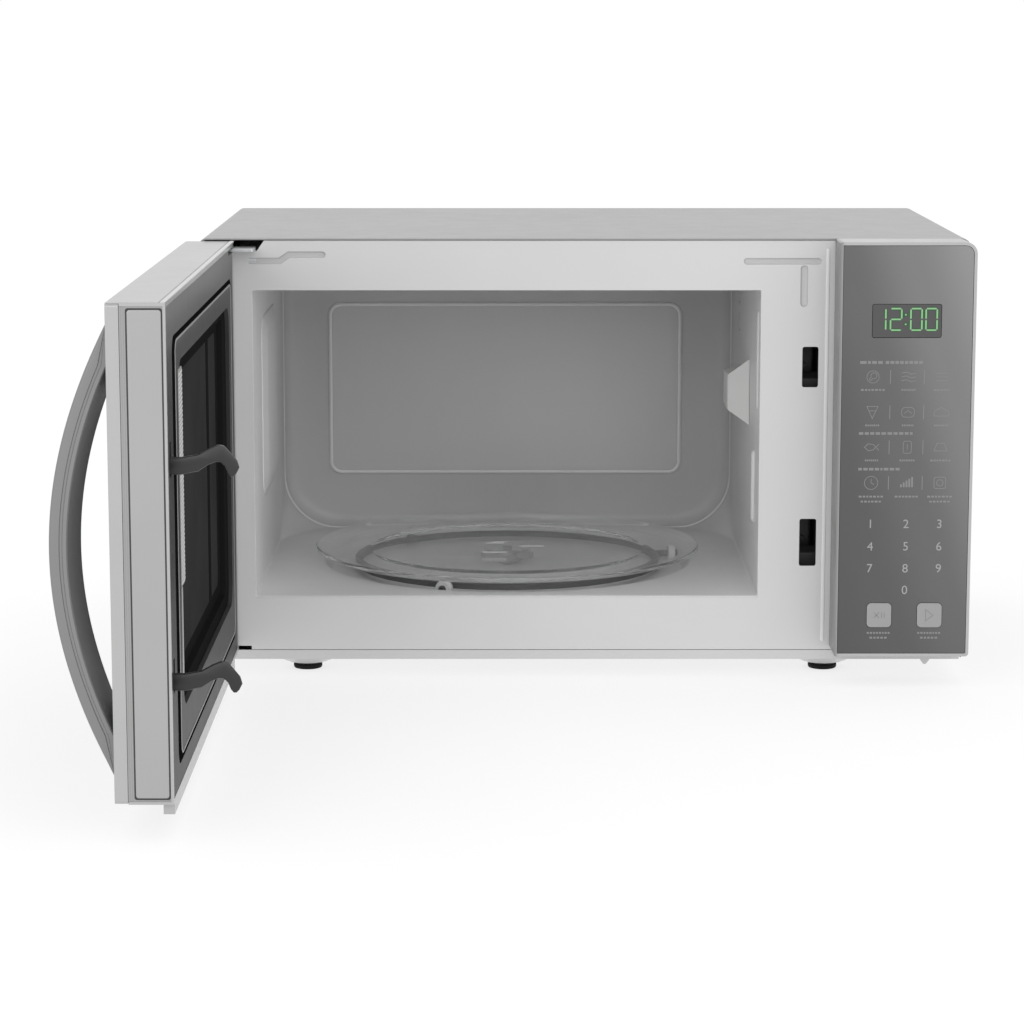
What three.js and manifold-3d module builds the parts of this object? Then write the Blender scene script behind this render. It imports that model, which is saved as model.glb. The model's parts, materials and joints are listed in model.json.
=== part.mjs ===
// A countertop microwave oven with its door standing open: steel cabinet and cavity, hinged door with a
// sliding latch key, control panel with two travelling keys, turntable and the works inside.
// Millimetres, +Z up, front of the cabinet towards -Y. Everything is laid out in cabinet coordinates first:
// X = 0 at the cabinet's middle, Y = 0 at its front plane, Z = 0 at the front plate's lower edge.
import * as THREE from "three";
import { mergeVertices } from "three/addons/utils/BufferGeometryUtils.js";
import Module from "manifold-3d";

const wasm = await Module();
wasm.setup();

// ---------------------------------------------------------------- driving dimensions
const GAP = 0.3; // between pieces that rest on each other
const SHEET = 1.0; // thickness of the pressed steel
const CABINET = { halfWidth: 268, depth: 315, top: 290.8, floor: -20 };
const PLATE = { left: -266.6, right: 176, top: 289.4, y: 0.6 };
const MOUTH = { left: -231, right: 123, low: 37.7, high: 254.7 };
const CAVITY = { left: -231, right: 123.1, floor: 38.4, roof: 254.9, back: 302, wall: 0.9 };
const TABLE = { x: -53.8, y: 154.4, wellRadius: 137, wellDepth: 7.5, trayRadius: 144.2, trayRim: 49.5 };
const ROLLER = { radius: 6, width: 5, circle: 126, axle: 1.45 };
const DOOR = { left: -268, right: 172.9, low: 2.8, high: 289, front: -34.2, back: -0.5, wall: 2.6 };
const HINGE = { x: -256, y: -14, pin: 2.5, reach: 13.5 };
const OPEN_ANGLE = 90; // degrees the door stands open at rest
const WINDOW = { left: -218, right: 107, low: 44, high: 249 };
const HANDLE = { near: 165, far: 139, low: 16.5, high: 277.6, bow: 35.1, nearThick: 10.6, farThick: 15 };
const HOOK = { left: 155, right: 159.6, spacing: 124.6 };
const PANEL = { left: 174.2, right: 268, low: 2.1, high: 290.8, front: -33.7, rim: 2.1 };
const KEY = { size: 17.2, low: 22.8, stopLeft: 196.6, startLeft: 231.6 };
const FEET = { x: [-197, 173], y: [35, 280], radius: 10.25, top: -14.7 };
const SCREW = { x: 261.8, heights: [40, 252], headRadius: 3.8, headHeight: 2.2 };
const FAN = { x: 196, z: 165, blade: 46, opening: 50 };
const SCREW_SEAT = CABINET.depth + 0.2;
const REAR = SCREW_SEAT + SCREW.headHeight; // the screw heads are the rearmost faces

// ---------------------------------------------------------------- materials
const finish = (color, roughness, metalness, opacity = 1) =>
  new THREE.MeshStandardMaterial({ color, roughness, metalness, opacity, transparent: opacity < 1 });
const MATERIAL = {
  silverPaint: finish(0xb9b9bb, 0.38, 0.5),
  innerPaint: finish(0xd6d6d6, 0.45, 0.1),
  silverPlastic: finish(0xbcbcbe, 0.4, 0.3),
  zinc: finish(0xa9adb0, 0.35, 0.9),
  blackRubber: finish(0x1e1e1e, 0.85, 0),
  darkGloss: finish(0x4a4a4c, 0.12, 0.1),
  darkPlastic: finish(0x343436, 0.5, 0),
  handleGrey: finish(0x8f8f92, 0.35, 0.4),
  whitePlastic: finish(0xeaeaea, 0.5, 0),
  copper: finish(0xa8653a, 0.35, 0.8),
  laminations: finish(0x55585c, 0.5, 0.7),
  circuit: finish(0x2f6a45, 0.5, 0.1),
  keyGrey: finish(0xb4b4b6, 0.3, 0.2),
  glass: finish(0xdfe8e6, 0.05, 0, 0.35),
  smokedGlass: finish(0x141516, 0.05, 0, 0.8),
};

// ---------------------------------------------------------------- closed bodies and their booleans
function solidOf(geometry) {
  const bare = geometry.index ? geometry.toNonIndexed() : geometry.clone();
  for (const name of Object.keys(bare.attributes)) {
    if (name !== "position") bare.deleteAttribute(name);
  }
  const merged = mergeVertices(bare, 1e-4);
  const vertProperties = new Float32Array(merged.attributes.position.array);
  const corners = new Uint32Array(merged.index.array);
  const build = (triVerts) => new wasm.Manifold(new wasm.Mesh({ numProp: 3, vertProperties, triVerts }));
  const solid = build(corners);
  return solid.volume() > 0 ? solid : build(corners.reverse()); // an inside-out body is turned to face out
}

function geometryOf(solid) {
  const made = solid.getMesh();
  const indexed = new THREE.BufferGeometry()
    .setAttribute("position", new THREE.BufferAttribute(new Float32Array(made.vertProperties), 3))
    .setIndex(new THREE.BufferAttribute(new Uint32Array(made.triVerts), 1));
  const flat = indexed.toNonIndexed();
  flat.computeVertexNormals();
  return flat;
}

const combine = (first, rest, action) =>
  geometryOf(rest.reduce((made, next) => made[action](solidOf(next)), solidOf(first)));
const join = (first, ...rest) => combine(first, rest, "add");
const cut = (first, ...rest) => combine(first, rest, "subtract");

// ---------------------------------------------------------------- basic shapes
const BASIS = {
  x: new THREE.Matrix4().set(0, 0, 1, 0, 1, 0, 0, 0, 0, 1, 0, 0, 0, 0, 0, 1), // outline in (y, z)
  y: new THREE.Matrix4().set(1, 0, 0, 0, 0, 0, -1, 0, 0, 1, 0, 0, 0, 0, 0, 1), // outline in (x, z)
  z: new THREE.Matrix4(), // outline in (x, y)
};

function block([x0, x1], [y0, y1], [z0, z1]) {
  const solid = new THREE.BoxGeometry(x1 - x0, y1 - y0, z1 - z0);
  return solid.translate((x0 + x1) / 2, (y0 + y1) / 2, (z0 + z1) / 2);
}

// An outline pulled straight along an axis, between two positions on that axis.
function prism(outline, axis, [from, to], curveSegments = 4) {
  const start = axis === "y" ? -to : from;
  return new THREE.ExtrudeGeometry(outline, { depth: to - from, bevelEnabled: false, curveSegments })
    .translate(0, 0, start)
    .applyMatrix4(BASIS[axis]);
}

const polygon = (points) => new THREE.Shape(points.map(([u, v]) => new THREE.Vector2(u, v)));

// radii run from the low left corner anticlockwise; one number serves all four corners.
function roundedRect([u0, u1], [v0, v1], radii) {
  const [a, b, c, d] = Array.isArray(radii) ? radii : [radii, radii, radii, radii];
  const shape = new THREE.Shape();
  shape.moveTo(u0 + a, v0);
  shape.lineTo(u1 - b, v0);
  if (b > 0) shape.absarc(u1 - b, v0 + b, b, -Math.PI / 2, 0, false);
  shape.lineTo(u1, v1 - c);
  if (c > 0) shape.absarc(u1 - c, v1 - c, c, 0, Math.PI / 2, false);
  shape.lineTo(u0 + d, v1);
  if (d > 0) shape.absarc(u0 + d, v1 - d, d, Math.PI / 2, Math.PI, false);
  shape.lineTo(u0, v0 + a);
  if (a > 0) shape.absarc(u0 + a, v0 + a, a, Math.PI, Math.PI * 1.5, false);
  return shape;
}

// A round bar along an axis; centre holds the other two coordinates in x, y, z order.
function rod(axis, [u, v], radius, span, sides = 16) {
  const outline = new THREE.Shape();
  for (let i = 0; i < sides; i += 1) {
    const turn = (i / sides) * Math.PI * 2;
    const place = [u + radius * Math.cos(turn), v + radius * Math.sin(turn)];
    if (i === 0) outline.moveTo(...place);
    else outline.lineTo(...place);
  }
  return prism(outline, axis, span);
}

// A profile of [radius, height] points, running upwards on its outside, turned about a vertical axis.
function turned(profile, [x, y], sides) {
  const points = profile.map(([radius, height]) => new THREE.Vector2(radius, height));
  return new THREE.LatheGeometry(points, sides).rotateX(Math.PI / 2).translate(x, y, 0);
}

// Rings of equal point count joined in order, with both ends closed.
function loft(rings) {
  const count = rings[0].length;
  const faces = [];
  for (let r = 0; r + 1 < rings.length; r += 1) {
    for (let i = 0; i < count; i += 1) {
      const j = (i + 1) % count;
      const [a, b, c, d] = [r * count + i, r * count + j, (r + 1) * count + j, (r + 1) * count + i];
      faces.push(a, b, c, a, c, d);
    }
  }
  const last = (rings.length - 1) * count;
  for (let i = 1; i + 1 < count; i += 1) {
    faces.push(0, i + 1, i);
    faces.push(last, last + i, last + i + 1);
  }
  const geometry = new THREE.BufferGeometry();
  geometry.setAttribute("position", new THREE.Float32BufferAttribute(rings.flat(2), 3));
  return geometryOf(solidOf(geometry.setIndex(faces)));
}

// A band of even width along a line of points, as an outline with square ends.
function band(points, width) {
  const sides = [[], []];
  points.forEach(([u, v], i) => {
    const before = points[Math.max(i - 1, 0)];
    const after = points[Math.min(i + 1, points.length - 1)];
    const into = Math.atan2(v - before[1], u - before[0]);
    const out = Math.atan2(after[1] - v, after[0] - u);
    const first = i === 0 ? out : into;
    const second = i === points.length - 1 ? into : out;
    const half = (first + second) / 2;
    const reach = width / 2 / Math.cos((second - first) / 2);
    sides[0].push([u + reach * Math.sin(half), v - reach * Math.cos(half)]);
    sides[1].unshift([u - reach * Math.sin(half), v + reach * Math.cos(half)]);
  });
  return polygon(sides.flat());
}

// Slots in rows and columns, as one list of cutting blocks.
function slotGrid(make, columns, rows) {
  return columns.flatMap((column) => rows.map((row) => make(column, row)));
}

const steps = (start, count, pitch) => Array.from({ length: count }, (_, i) => start + i * pitch);
const around = (count, start = 0) => steps(start, count, (2 * Math.PI) / count);

// ---------------------------------------------------------------- the assembly
const oven = new THREE.Group();
const doorGroup = new THREE.Group(); // the door is drawn shut and swung open about its hinge pins
doorGroup.rotation.z = THREE.MathUtils.degToRad(-OPEN_ANGLE);
doorGroup.position.set(HINGE.x, HINGE.y, 0);
const doorParts = new THREE.Group();
doorParts.position.set(-HINGE.x, -HINGE.y, 0);
doorGroup.add(doorParts);

function add(name, geometry, material, parent = oven) {
  const mesh = new THREE.Mesh(geometry, material);
  mesh.name = name;
  parent.add(mesh);
}

// ---------------------------------------------------------------- cabinet shells
function casingOutline(inset, low) {
  const half = CABINET.halfWidth - inset;
  const corner = 6 - Math.min(inset, 5);
  return roundedRect([-half, half], [low, CABINET.top - inset], [0, 0, corner, corner]);
}

function screwPlaces() {
  return [-SCREW.x, SCREW.x].flatMap((x) => SCREW.heights.map((z) => [x, z]));
}

function outerCasing() {
  const bottom = -5.5;
  const depth = CABINET.depth;
  const lip = 12; // width of the rear return flange
  const shell = cut(
    prism(casingOutline(0, bottom), "y", [0, depth]),
    prism(casingOutline(SHEET, bottom - 1), "y", [-1, depth - SHEET]),
    prism(casingOutline(lip, bottom - 1), "y", [-1, depth + 1]),
  );
  const slot = { length: 30, height: 3.4 };
  const sideSlot = (side) => (y, z) =>
    block([side * 268 - 2, side * 268 + 2], [y, y + slot.length], [z, z + slot.height]);
  const rightVents = slotGrid(sideSlot(1), [216, 254], steps(34, 6, 10));
  const leftVents = slotGrid(sideSlot(-1), [216, 254], steps(196, 4, 10));
  const screwHoles = screwPlaces().map(([x, z]) => rod("y", [x, z], 1.8, [depth - 3, depth + 1], 8));
  return cut(shell, ...rightVents, ...leftVents, ...screwHoles);
}

const BASE = { half: 266.4, front: 0.8, rear: 311.9, low: -7, wallTop: 9 };

// The rectangle pressed down into the middle of the base.
function baseDish(inset) {
  const [left, right, front, rear] = [-130 + inset, 85 - inset, 24 + inset, 290 - inset];
  const [slope, depth] = [5, 4.3];
  const rectangle = (grow, z) => [
    [left - grow, front - grow, z],
    [right + grow, front - grow, z],
    [right + grow, rear + grow, z],
    [left - grow, rear + grow, z],
  ];
  const top = BASE.low + inset;
  return loft([rectangle(-slope, top - depth), rectangle(0, top), rectangle(0, top + 0.01)]);
}

// The round pad pressed down over each foot.
function basePad([x, y], inset) {
  const top = BASE.low + inset;
  const end = FEET.top + GAP + inset;
  const profile = [[0, end], [15 - inset, end], [32 - inset, top], [32 - inset, top + 0.01], [0, top + 0.01]];
  return turned(profile, [x, y], 16);
}

function basePlate() {
  const { half, front, rear, low, wallTop } = BASE;
  const feet = FEET.x.flatMap((x) => FEET.y.map((y) => [x, y]));
  const tab = polygon([[238, low + 0.5], [243, low - 6.4], [245, low - 6.4], [250, low + 0.5]]);
  const pan = join(
    block([-half, half], [front, rear], [low, wallTop]),
    baseDish(0),
    prism(tab, "y", [14, 17]),
    ...feet.map((place) => basePad(place, 0)),
  );
  return cut(
    pan,
    block([-half + SHEET, half - SHEET], [front + SHEET, rear - SHEET], [low + SHEET, wallTop + 1]),
    block([-half - 1, half + 1], [front - 1, 2.6], [-0.4, wallTop + 1]),
    baseDish(SHEET),
    ...feet.map((place) => basePad(place, SHEET)),
    ...feet.map((place) => rod("z", place, 3.1, [-16, -12], 8)),
  );
}

function rearPanel() {
  const y = [312.4, 313.4];
  const through = [y[0] - 1, y[1] + 1];
  const vent = (x, z) => block([x, x + 38], through, [z, z + 3.4]);
  const fanVents = slotGrid(vent, [154, 200], steps(132, 7, 10));
  const steamVents = slotGrid(vent, [-196, -150], steps(214, 4, 10));
  const screwHoles = screwPlaces().map(([x, z]) => rod("y", [x, z], 1.8, through, 8));
  const cordHole = rod("y", [222, 48], 8.3, through, 16);
  const sheet = prism(roundedRect([-266.2, 266.2], [-5, 289], [0, 0, 4.5, 4.5]), "y", y, 3);
  return cut(sheet, ...fanVents, ...steamVents, ...screwHoles, cordHole);
}

function frontPlate() {
  const y = [PLATE.y, PLATE.y + SHEET];
  const through = [y[0] - 1, y[1] + 1];
  const sheet = prism(roundedRect([PLATE.left, PLATE.right], [0, PLATE.top], [0, 0, 0, 4.5]), "y", y, 3);
  const mouth = prism(roundedRect([MOUTH.left, MOUTH.right], [MOUTH.low, MOUTH.high], 2), "y", through, 3);
  const upperSlot = prism(roundedRect([152.4, 163.6], [186.9, 215.3], 1.5), "y", through, 3);
  const lowerSlot = prism(roundedRect([152.1, 163.9], [60.1, 93.7], 1.5), "y", through, 3);
  const upperNotch = prism(
    polygon([[-263.5, 282.2], [-227.3, 282.2], [-221.6, PLATE.top + 1], [-263.5, PLATE.top + 1]]),
    "y",
    through,
  );
  const lowerNotch = block([-263.5, -234.5], through, [-1, 2.6]);
  const ribs = [
    band([[-242, 275.2], [-211.4, 275.2], [-205.1, 279.5], [-181.9, 279.5]], 4.6),
    band([[113, 274.9], [162.6, 274.9]], 4.6),
    band([[153, 274.9], [153, 245.7]], 5.2),
  ].map((outline) => prism(outline, "y", [y[0] - 1, y[0] + 0.2]));
  return join(cut(sheet, mouth, upperSlot, lowerSlot, upperNotch, lowerNotch), ...ribs);
}

// ---------------------------------------------------------------- cavity and turntable well
// The room's cross-section: square at the mouth, its corners easing into large radii at the back wall.
function cavityRings(grow) {
  const stations = [
    { y: -2, low: 3, high: 3 },
    { y: 236, low: 4, high: 4 },
    { y: 268, low: 14, high: 7 },
    { y: 290, low: 30, high: 11 },
    { y: CAVITY.back + grow, low: 45, high: 14 },
  ];
  const corner = (x, z, sx, sz, radius, start) =>
    steps(0, 5, 1).map((i) => {
      const turn = start + (i / 4) * (Math.PI / 2);
      return [x + sx * radius + radius * Math.cos(turn), z + sz * radius + radius * Math.sin(turn)];
    });
  const [x0, x1] = [CAVITY.left - grow, CAVITY.right + grow];
  const [z0, z1] = [CAVITY.floor - grow, CAVITY.roof + grow];
  return stations.map(({ y, low, high }) =>
    [
      ...corner(x1, z0, -1, 1, low + grow, -Math.PI / 2),
      ...corner(x1, z1, -1, -1, high + grow, 0),
      ...corner(x0, z1, 1, -1, high + grow, Math.PI / 2),
      ...corner(x0, z0, 1, 1, low + grow, Math.PI),
    ].map(([x, z]) => [x, y, z]),
  );
}

function well(grow) {
  const { x, y, wellRadius, wellDepth } = TABLE;
  const [low, high] = [CAVITY.floor - wellDepth - grow, CAVITY.floor + 0.2 - grow];
  return turned([[0, low], [wellRadius - 5 + grow, low], [wellRadius + grow, high], [0, high]], [x, y], 36);
}

// A shallow raised panel on the wall that faces along the axis.
function raisedPanel(axis, [u0, u1], [v0, v1], [base, face], slope) {
  const rectangle = (s) => [[u0 + s, v0 + s], [u1 - s, v0 + s], [u1 - s, v1 - s], [u0 + s, v1 - s]];
  const ring = (shrink, level) =>
    rectangle(shrink).map(([u, v]) => (axis === "x" ? [level, u, v] : [u, level, v]));
  return loft([ring(0, base), ring(slope, face)]);
}

function ovenCavity() {
  const { left, right, back, wall, floor } = CAVITY;
  const lip = 12;
  const flangeY = [PLATE.y + SHEET + GAP, PLATE.y + SHEET + GAP + wall];
  const beforeMouth = block([-300, 300], [-10, flangeY[0]], [-10, 300]);
  const shell = join(
    cut(loft(cavityRings(wall)), beforeMouth),
    block([left - lip, right + lip], flangeY, [floor - lip + 2, CAVITY.roof + lip]),
    well(wall),
  );
  const room = join(loft(cavityRings(0)), well(0));
  const backPanel = raisedPanel("y", [-196.7, 85.4], [79.2, 218.2], [back + 0.3, back - 2.2], 3);
  const leftPanel = raisedPanel("x", [78, 200], [97, 228], [left - 0.3, left + 2.2], 10);
  const shaftHole = rod("z", [TABLE.x, TABLE.y], 8, [floor - TABLE.wellDepth - 3, floor], 16);
  const port = block([right - 2, right + 3], [122, 186], [151, 170]);
  const airHoles = slotGrid(
    (y, z) => rod("x", [y, z], 2.4, [right - 3, right + 3], 6),
    steps(192, 4, 7),
    [...steps(207, 2, 7), ...steps(228, 2, 7)],
  );
  return cut(join(cut(shell, room), backPanel, leftPanel), shaftHole, port, ...airHoles);
}

// A cover that slopes out of the wall on all four sides to a smaller, flat face.
function waveguideCover() {
  const side = (x, [front, back], [low, high]) => [
    [x, back, low],
    [x, back, high],
    [x, front, high],
    [x, front, low],
  ];
  const wall = CAVITY.right - GAP;
  return loft([side(wall, [94, 201], [148, 195.5]), side(wall - 15.2, [110, 152], [157, 182.5])]);
}

function driveCoupler() {
  const centre = [TABLE.x, TABLE.y];
  const shaft = rod("z", centre, 3.4, [20, 33], 12);
  const hub = turned([[0, 32.6], [10.5, 32.6], [11.5, 33.6], [11.5, 40.6], [0, 40.6]], centre, 18);
  const lobes = around(3, Math.PI / 2).map((turn) =>
    block([8, 21], [-3.6, 3.6], [36.6, 42.6]).rotateZ(turn).translate(...centre, 0),
  );
  return join(shaft, hub, ...lobes);
}

function glassTray() {
  const { trayRadius, trayRim } = TABLE;
  const low = 43.3;
  const profile = [
    [0, low],
    [135, low],
    [trayRadius - 0.6, trayRim - 1.6],
    [trayRadius, trayRim - 0.6],
    [trayRadius - 0.5, trayRim],
    [trayRadius - 3.2, trayRim - 0.4],
    [133, low + 3.5],
    [0, low + 3.5],
  ];
  const centre = [TABLE.x, TABLE.y];
  const lugs = around(3, Math.PI / 6).map((turn) =>
    block([13.5, 19], [-2.5, 2.5], [low - 2.6, low + 0.5]).rotateZ(turn).translate(...centre, 0),
  );
  return join(turned(profile, centre, 48), ...lugs);
}

const rollerTurns = around(3, THREE.MathUtils.degToRad(-111));
const rollerHeight = CAVITY.floor - TABLE.wellDepth + ROLLER.radius + 0.15;

function onRing(geometry, turn) {
  return geometry.rotateZ(turn).translate(TABLE.x, TABLE.y, rollerHeight);
}

function rollerRing() {
  const section = [[109.5, -2], [114.5, -2], [114.5, 2], [109.5, 2], [109.5, -2]];
  const ring = turned(section, [0, 0], 36).translate(TABLE.x, TABLE.y, rollerHeight);
  const axleEnd = ROLLER.circle + ROLLER.width / 2 + 2.6;
  const axles = rollerTurns.map((turn) => onRing(rod("x", [0, 0], ROLLER.axle, [113, axleEnd], 8), turn));
  const collars = rollerTurns.map((turn) =>
    onRing(rod("x", [0, 0], 2.6, [114, ROLLER.circle - ROLLER.width / 2 - 0.5], 8), turn),
  );
  const caps = rollerTurns.map((turn) => onRing(rod("x", [0, 0], 2.6, [axleEnd - 2, axleEnd], 8), turn));
  return join(ring, ...axles, ...collars, ...caps);
}

function roller(turn) {
  const half = ROLLER.width / 2;
  const span = [ROLLER.circle - half, ROLLER.circle + half];
  const hole = rod("x", [0, 0], 1.8, [span[0] - 1, span[1] + 1], 8);
  return onRing(cut(rod("x", [0, 0], ROLLER.radius, span, 20), hole), turn);
}

function turntableMotor() {
  const centre = [TABLE.x, TABLE.y];
  const body = turned([[0, 8], [23, 8], [24.5, 9.5], [24.5, 27], [0, 27]], centre, 20);
  const ears = block([TABLE.x - 34, TABLE.x + 34], [TABLE.y - 6, TABLE.y + 6], [25.4, 27]);
  const bore = rod("z", centre, 3.8, [19, 28], 12);
  const earHoles = [-29, 29].map((dx) => rod("z", [TABLE.x + dx, TABLE.y], 2, [24, 28], 8));
  const terminals = [-4, 4].map((dx) =>
    block([TABLE.x + dx - 1.2, TABLE.x + dx + 1.2], [TABLE.y - 31, TABLE.y - 23], [14, 15]),
  );
  return cut(join(body, ears, ...terminals), bore, ...earHoles);
}

// ---------------------------------------------------------------- works in the right-hand bay
function waveguide() {
  const outer = block([124.5, 160], [108, 206], [142, 196]);
  const inner = block([120, 159], [109, 205], [143, 195]);
  const antennaHole = rod("x", [153, 169], 12, [155, 162], 20);
  return cut(outer, inner, antennaHole);
}

function magnetron() {
  const yokeX = [160.5, 226];
  const yoke = cut(
    block(yokeX, [112, 194], [136, 202]),
    block([163, 223.5], [111, 195], [139, 199]),
  );
  const anode = rod("x", [153, 169], 19, [162.8, 223.8], 16); // seats in both ends of the yoke
  const antenna = rod("x", [153, 169], 8, [138, 164], 12);
  const fins = steps(178, 4, 9.6).map((x) => block([x, x + 1], [114, 192], [138.9, 199.1]));
  return join(yoke, anode, antenna, ...fins);
}

function magnetronFilterBox() {
  const outer = block([226.4, 256], [126, 180], [146, 192]);
  const lidRecess = block([254.6, 257], [129, 177], [149, 189]);
  const terminal = block([236, 246], [120, 127], [160, 178]);
  return join(cut(outer, lidRecess), terminal);
}

const CORE = { x: [166, 238], y: [75, 161], z: [-5.6, 60.5] };

function transformerCore() {
  const windows = [[88, 107], [129, 148]].map((span) => block([160, 244], span, [8, 48]));
  const foot = block([158, 246], [80, 156], [CORE.z[0], CORE.z[0] + 2.5]);
  return join(cut(block(CORE.x, CORE.y, CORE.z), ...windows), foot);
}

function transformerWinding(span) {
  const outer = roundedRect([154, 250], [88.4, 147.6], 8);
  const inner = roundedRect([165.5, 238.5], [106.6, 129.4], 1);
  return cut(prism(outer, "z", span, 3), prism(inner, "z", [span[0] - 1, span[1] + 1], 2));
}

function capacitor() {
  const can = prism(roundedRect([160, 193], [232, 284], 16.4), "z", [-5.6, 86], 4);
  const terminals = [246, 270].map((y) => block([175.6, 177.4], [y - 3, y + 3], [85, 96]));
  const strap = prism(roundedRect([158.8, 194.2], [230.8, 285.2], 17.4), "z", [38, 50], 4);
  return join(can, strap, ...terminals);
}

function highVoltageDiode() {
  const body = rod("y", [212, 2], 3.6, [236, 258], 12);
  const leads = rod("y", [212, 2], 0.9, [226, 268], 6);
  return join(body, leads);
}

const CORNERS = [[-1, -1], [1, -1], [-1, 1], [1, 1]];

function fanShroud() {
  const plate = prism(roundedRect([140, 252], [110, 222], 8), "y", [286, 288], 3);
  const collar = rod("y", [FAN.x, FAN.z], FAN.opening + 2, [266, 288], 24);
  const opening = rod("y", [FAN.x, FAN.z], FAN.opening, [265, 289], 24);
  const arms = CORNERS.map(([sx, sz]) => {
    const [x, z] = [FAN.x + sx * 38.5, FAN.z + sz * 38.5];
    return block([x - 2, x + 2], [244, 288], [z - 2, z + 2]);
  });
  return join(cut(join(plate, collar), opening), ...arms);
}

function fanMotor() {
  const core = block([FAN.x - 28, FAN.x + 28], [244, 260], [FAN.z - 28, FAN.z + 28]);
  const arms = CORNERS.map(([sx, sz]) => {
    const [x, z] = [FAN.x + sx * 34, FAN.z + sz * 34];
    return block([x - 7.5, x + 7.5], [241.6, 243.6], [z - 7.5, z + 7.5]);
  });
  const crossPlate = block([FAN.x - 30, FAN.x + 30], [241.6, 244.1], [FAN.z - 30, FAN.z + 30]);
  const coil = prism(roundedRect([FAN.x - 15, FAN.x + 15], [FAN.z - 27, FAN.z - 12], 4), "y", [238, 264], 3);
  const bore = rod("y", [FAN.x, FAN.z], 9, [238, 268], 16);
  return cut(join(core, crossPlate, coil, ...arms), bore);
}

function fanBlade() {
  const hub = rod("y", [0, 0], 13, [270, 284], 20);
  const shaft = rod("y", [0, 0], 2, [240, 272], 10);
  const rotor = rod("y", [0, 0], 8, [242, 262], 16);
  const blades = around(5).map((turn) => {
    const blade = block([10, FAN.blade], [-1, 1], [-13, 13]).rotateX(THREE.MathUtils.degToRad(58));
    return blade.translate(0, 277, 0).rotateY(turn);
  });
  return join(hub, shaft, rotor, ...blades);
}

function ovenLamp() {
  const glass = [[0, 0], [4, 0.8], [8, 4], [11, 12], [9.5, 20], [6.5, 26], [6.5, 32], [0, 32]];
  const bulb = turned(glass, [0, 0], 14).rotateY(Math.PI / 2).translate(128, 204, 236);
  const holder = rod("x", [204, 236], 10, [159, 180], 14);
  const bracket = block([164, 166], [188, 220], [222, 252]);
  return join(bulb, holder, bracket);
}

function noiseFilterBoard() {
  const board = block([256.6, 258.2], [186, 262], [20, 84]);
  const choke = cut(rod("x", [210, 52], 15, [244, 257], 16), rod("x", [210, 52], 6, [242, 255], 10));
  const capacitorBlock = block([246, 257], [232, 256], [40, 62]);
  const fuse = rod("y", [253.5, 74], 3, [194, 220], 10);
  const fuseClips = [198, 214].map((y) => block([252.5, 257], [y - 1.5, y + 1.5], [72, 76]));
  return join(board, choke, capacitorBlock, fuse, ...fuseClips);
}

function cordGland() {
  const flange = rod("y", [222, 48], 11.5, [313.7, 315.7], 20);
  const neck = rod("y", [222, 48], 8, [304, 314], 16);
  const inner = rod("y", [222, 48], 10, [309.4, 312.1], 16);
  const passage = rod("y", [222, 48], 4, [300, 320], 16);
  return cut(join(flange, neck, inner), passage);
}

// ---------------------------------------------------------------- feet, screws and hinges
function foot(x, y) {
  const profile = [
    [0, CABINET.floor],
    [FEET.radius - 1.2, CABINET.floor],
    [FEET.radius, CABINET.floor + 1],
    [FEET.radius, FEET.top],
    [2.7, FEET.top],
    [2.7, FEET.top + 5],
    [0, FEET.top + 5],
  ];
  return turned(profile, [x, y], 16);
}

function caseScrew(x, z) {
  const head = rod("y", [x, z], SCREW.headRadius, [SCREW_SEAT, REAR], 14);
  const shank = rod("y", [x, z], 1.45, [306, SCREW_SEAT + 0.5], 8);
  const slot = (a, b) => block([x - a, x + a], [REAR - 1.1, REAR + 1], [z - b, z + b]);
  return cut(join(head, shank), slot(2.4, 0.45), slot(0.45, 2.4));
}

function upperHingeBracket() {
  const tab = [283.2, 285.2];
  const arm = prism(roundedRect([-262, -228], [-20, 3.5], [5, 1.5, 0, 0]), "z", tab, 3);
  const upright = block([-262, -228], [2, 3.5], [269, 285.2]);
  const pin = rod("z", [HINGE.x, HINGE.y], HINGE.pin, [271, 284], 14);
  return join(arm, upright, pin);
}

function lowerHingeBracket() {
  const tab = [0.4, 2.2];
  const arm = prism(roundedRect([-262, -244], [-20, 4], [5, 5, 0, 0]), "z", tab, 3);
  const upright = block([-262, -244], [2.6, 4], [0.4, 26]);
  const pin = rod("z", [HINGE.x, HINGE.y], HINGE.pin, [1, 16], 14);
  return join(arm, upright, pin);
}

// ---------------------------------------------------------------- latch and interlock
function latchBoard() {
  const wall = block([165.3, 168.3], [2.6, 64], [48, 226]);
  const x = [151, 165.6];
  const catchOutline = [[20, 58], [27.6, 58], [27.6, 70.3], [25.2, 70.3], [20, 66]];
  const nests = [0, HOOK.spacing].flatMap((lift) => [
    prism(polygon(catchOutline), "x", x).translate(0, 0, lift),
    block(x, [20, 64], [50 + lift, 58.2 + lift]),
    block(x, [59.2, 64], [50 + lift, 92 + lift]),
  ]);
  return join(wall, ...nests);
}

function interlockSwitch(lift) {
  const body = block([152, 162.3], [42.5, 58.8], [59.4 + lift, 87.2 + lift]);
  const well = rod("y", [157.2, 73.4 + lift], 2, [41, 50], 12);
  return cut(body, well);
}

function switchPlunger(lift) {
  return rod("y", [157.2, 73.4 + lift], 1.6, [39.6, 46], 12);
}

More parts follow.
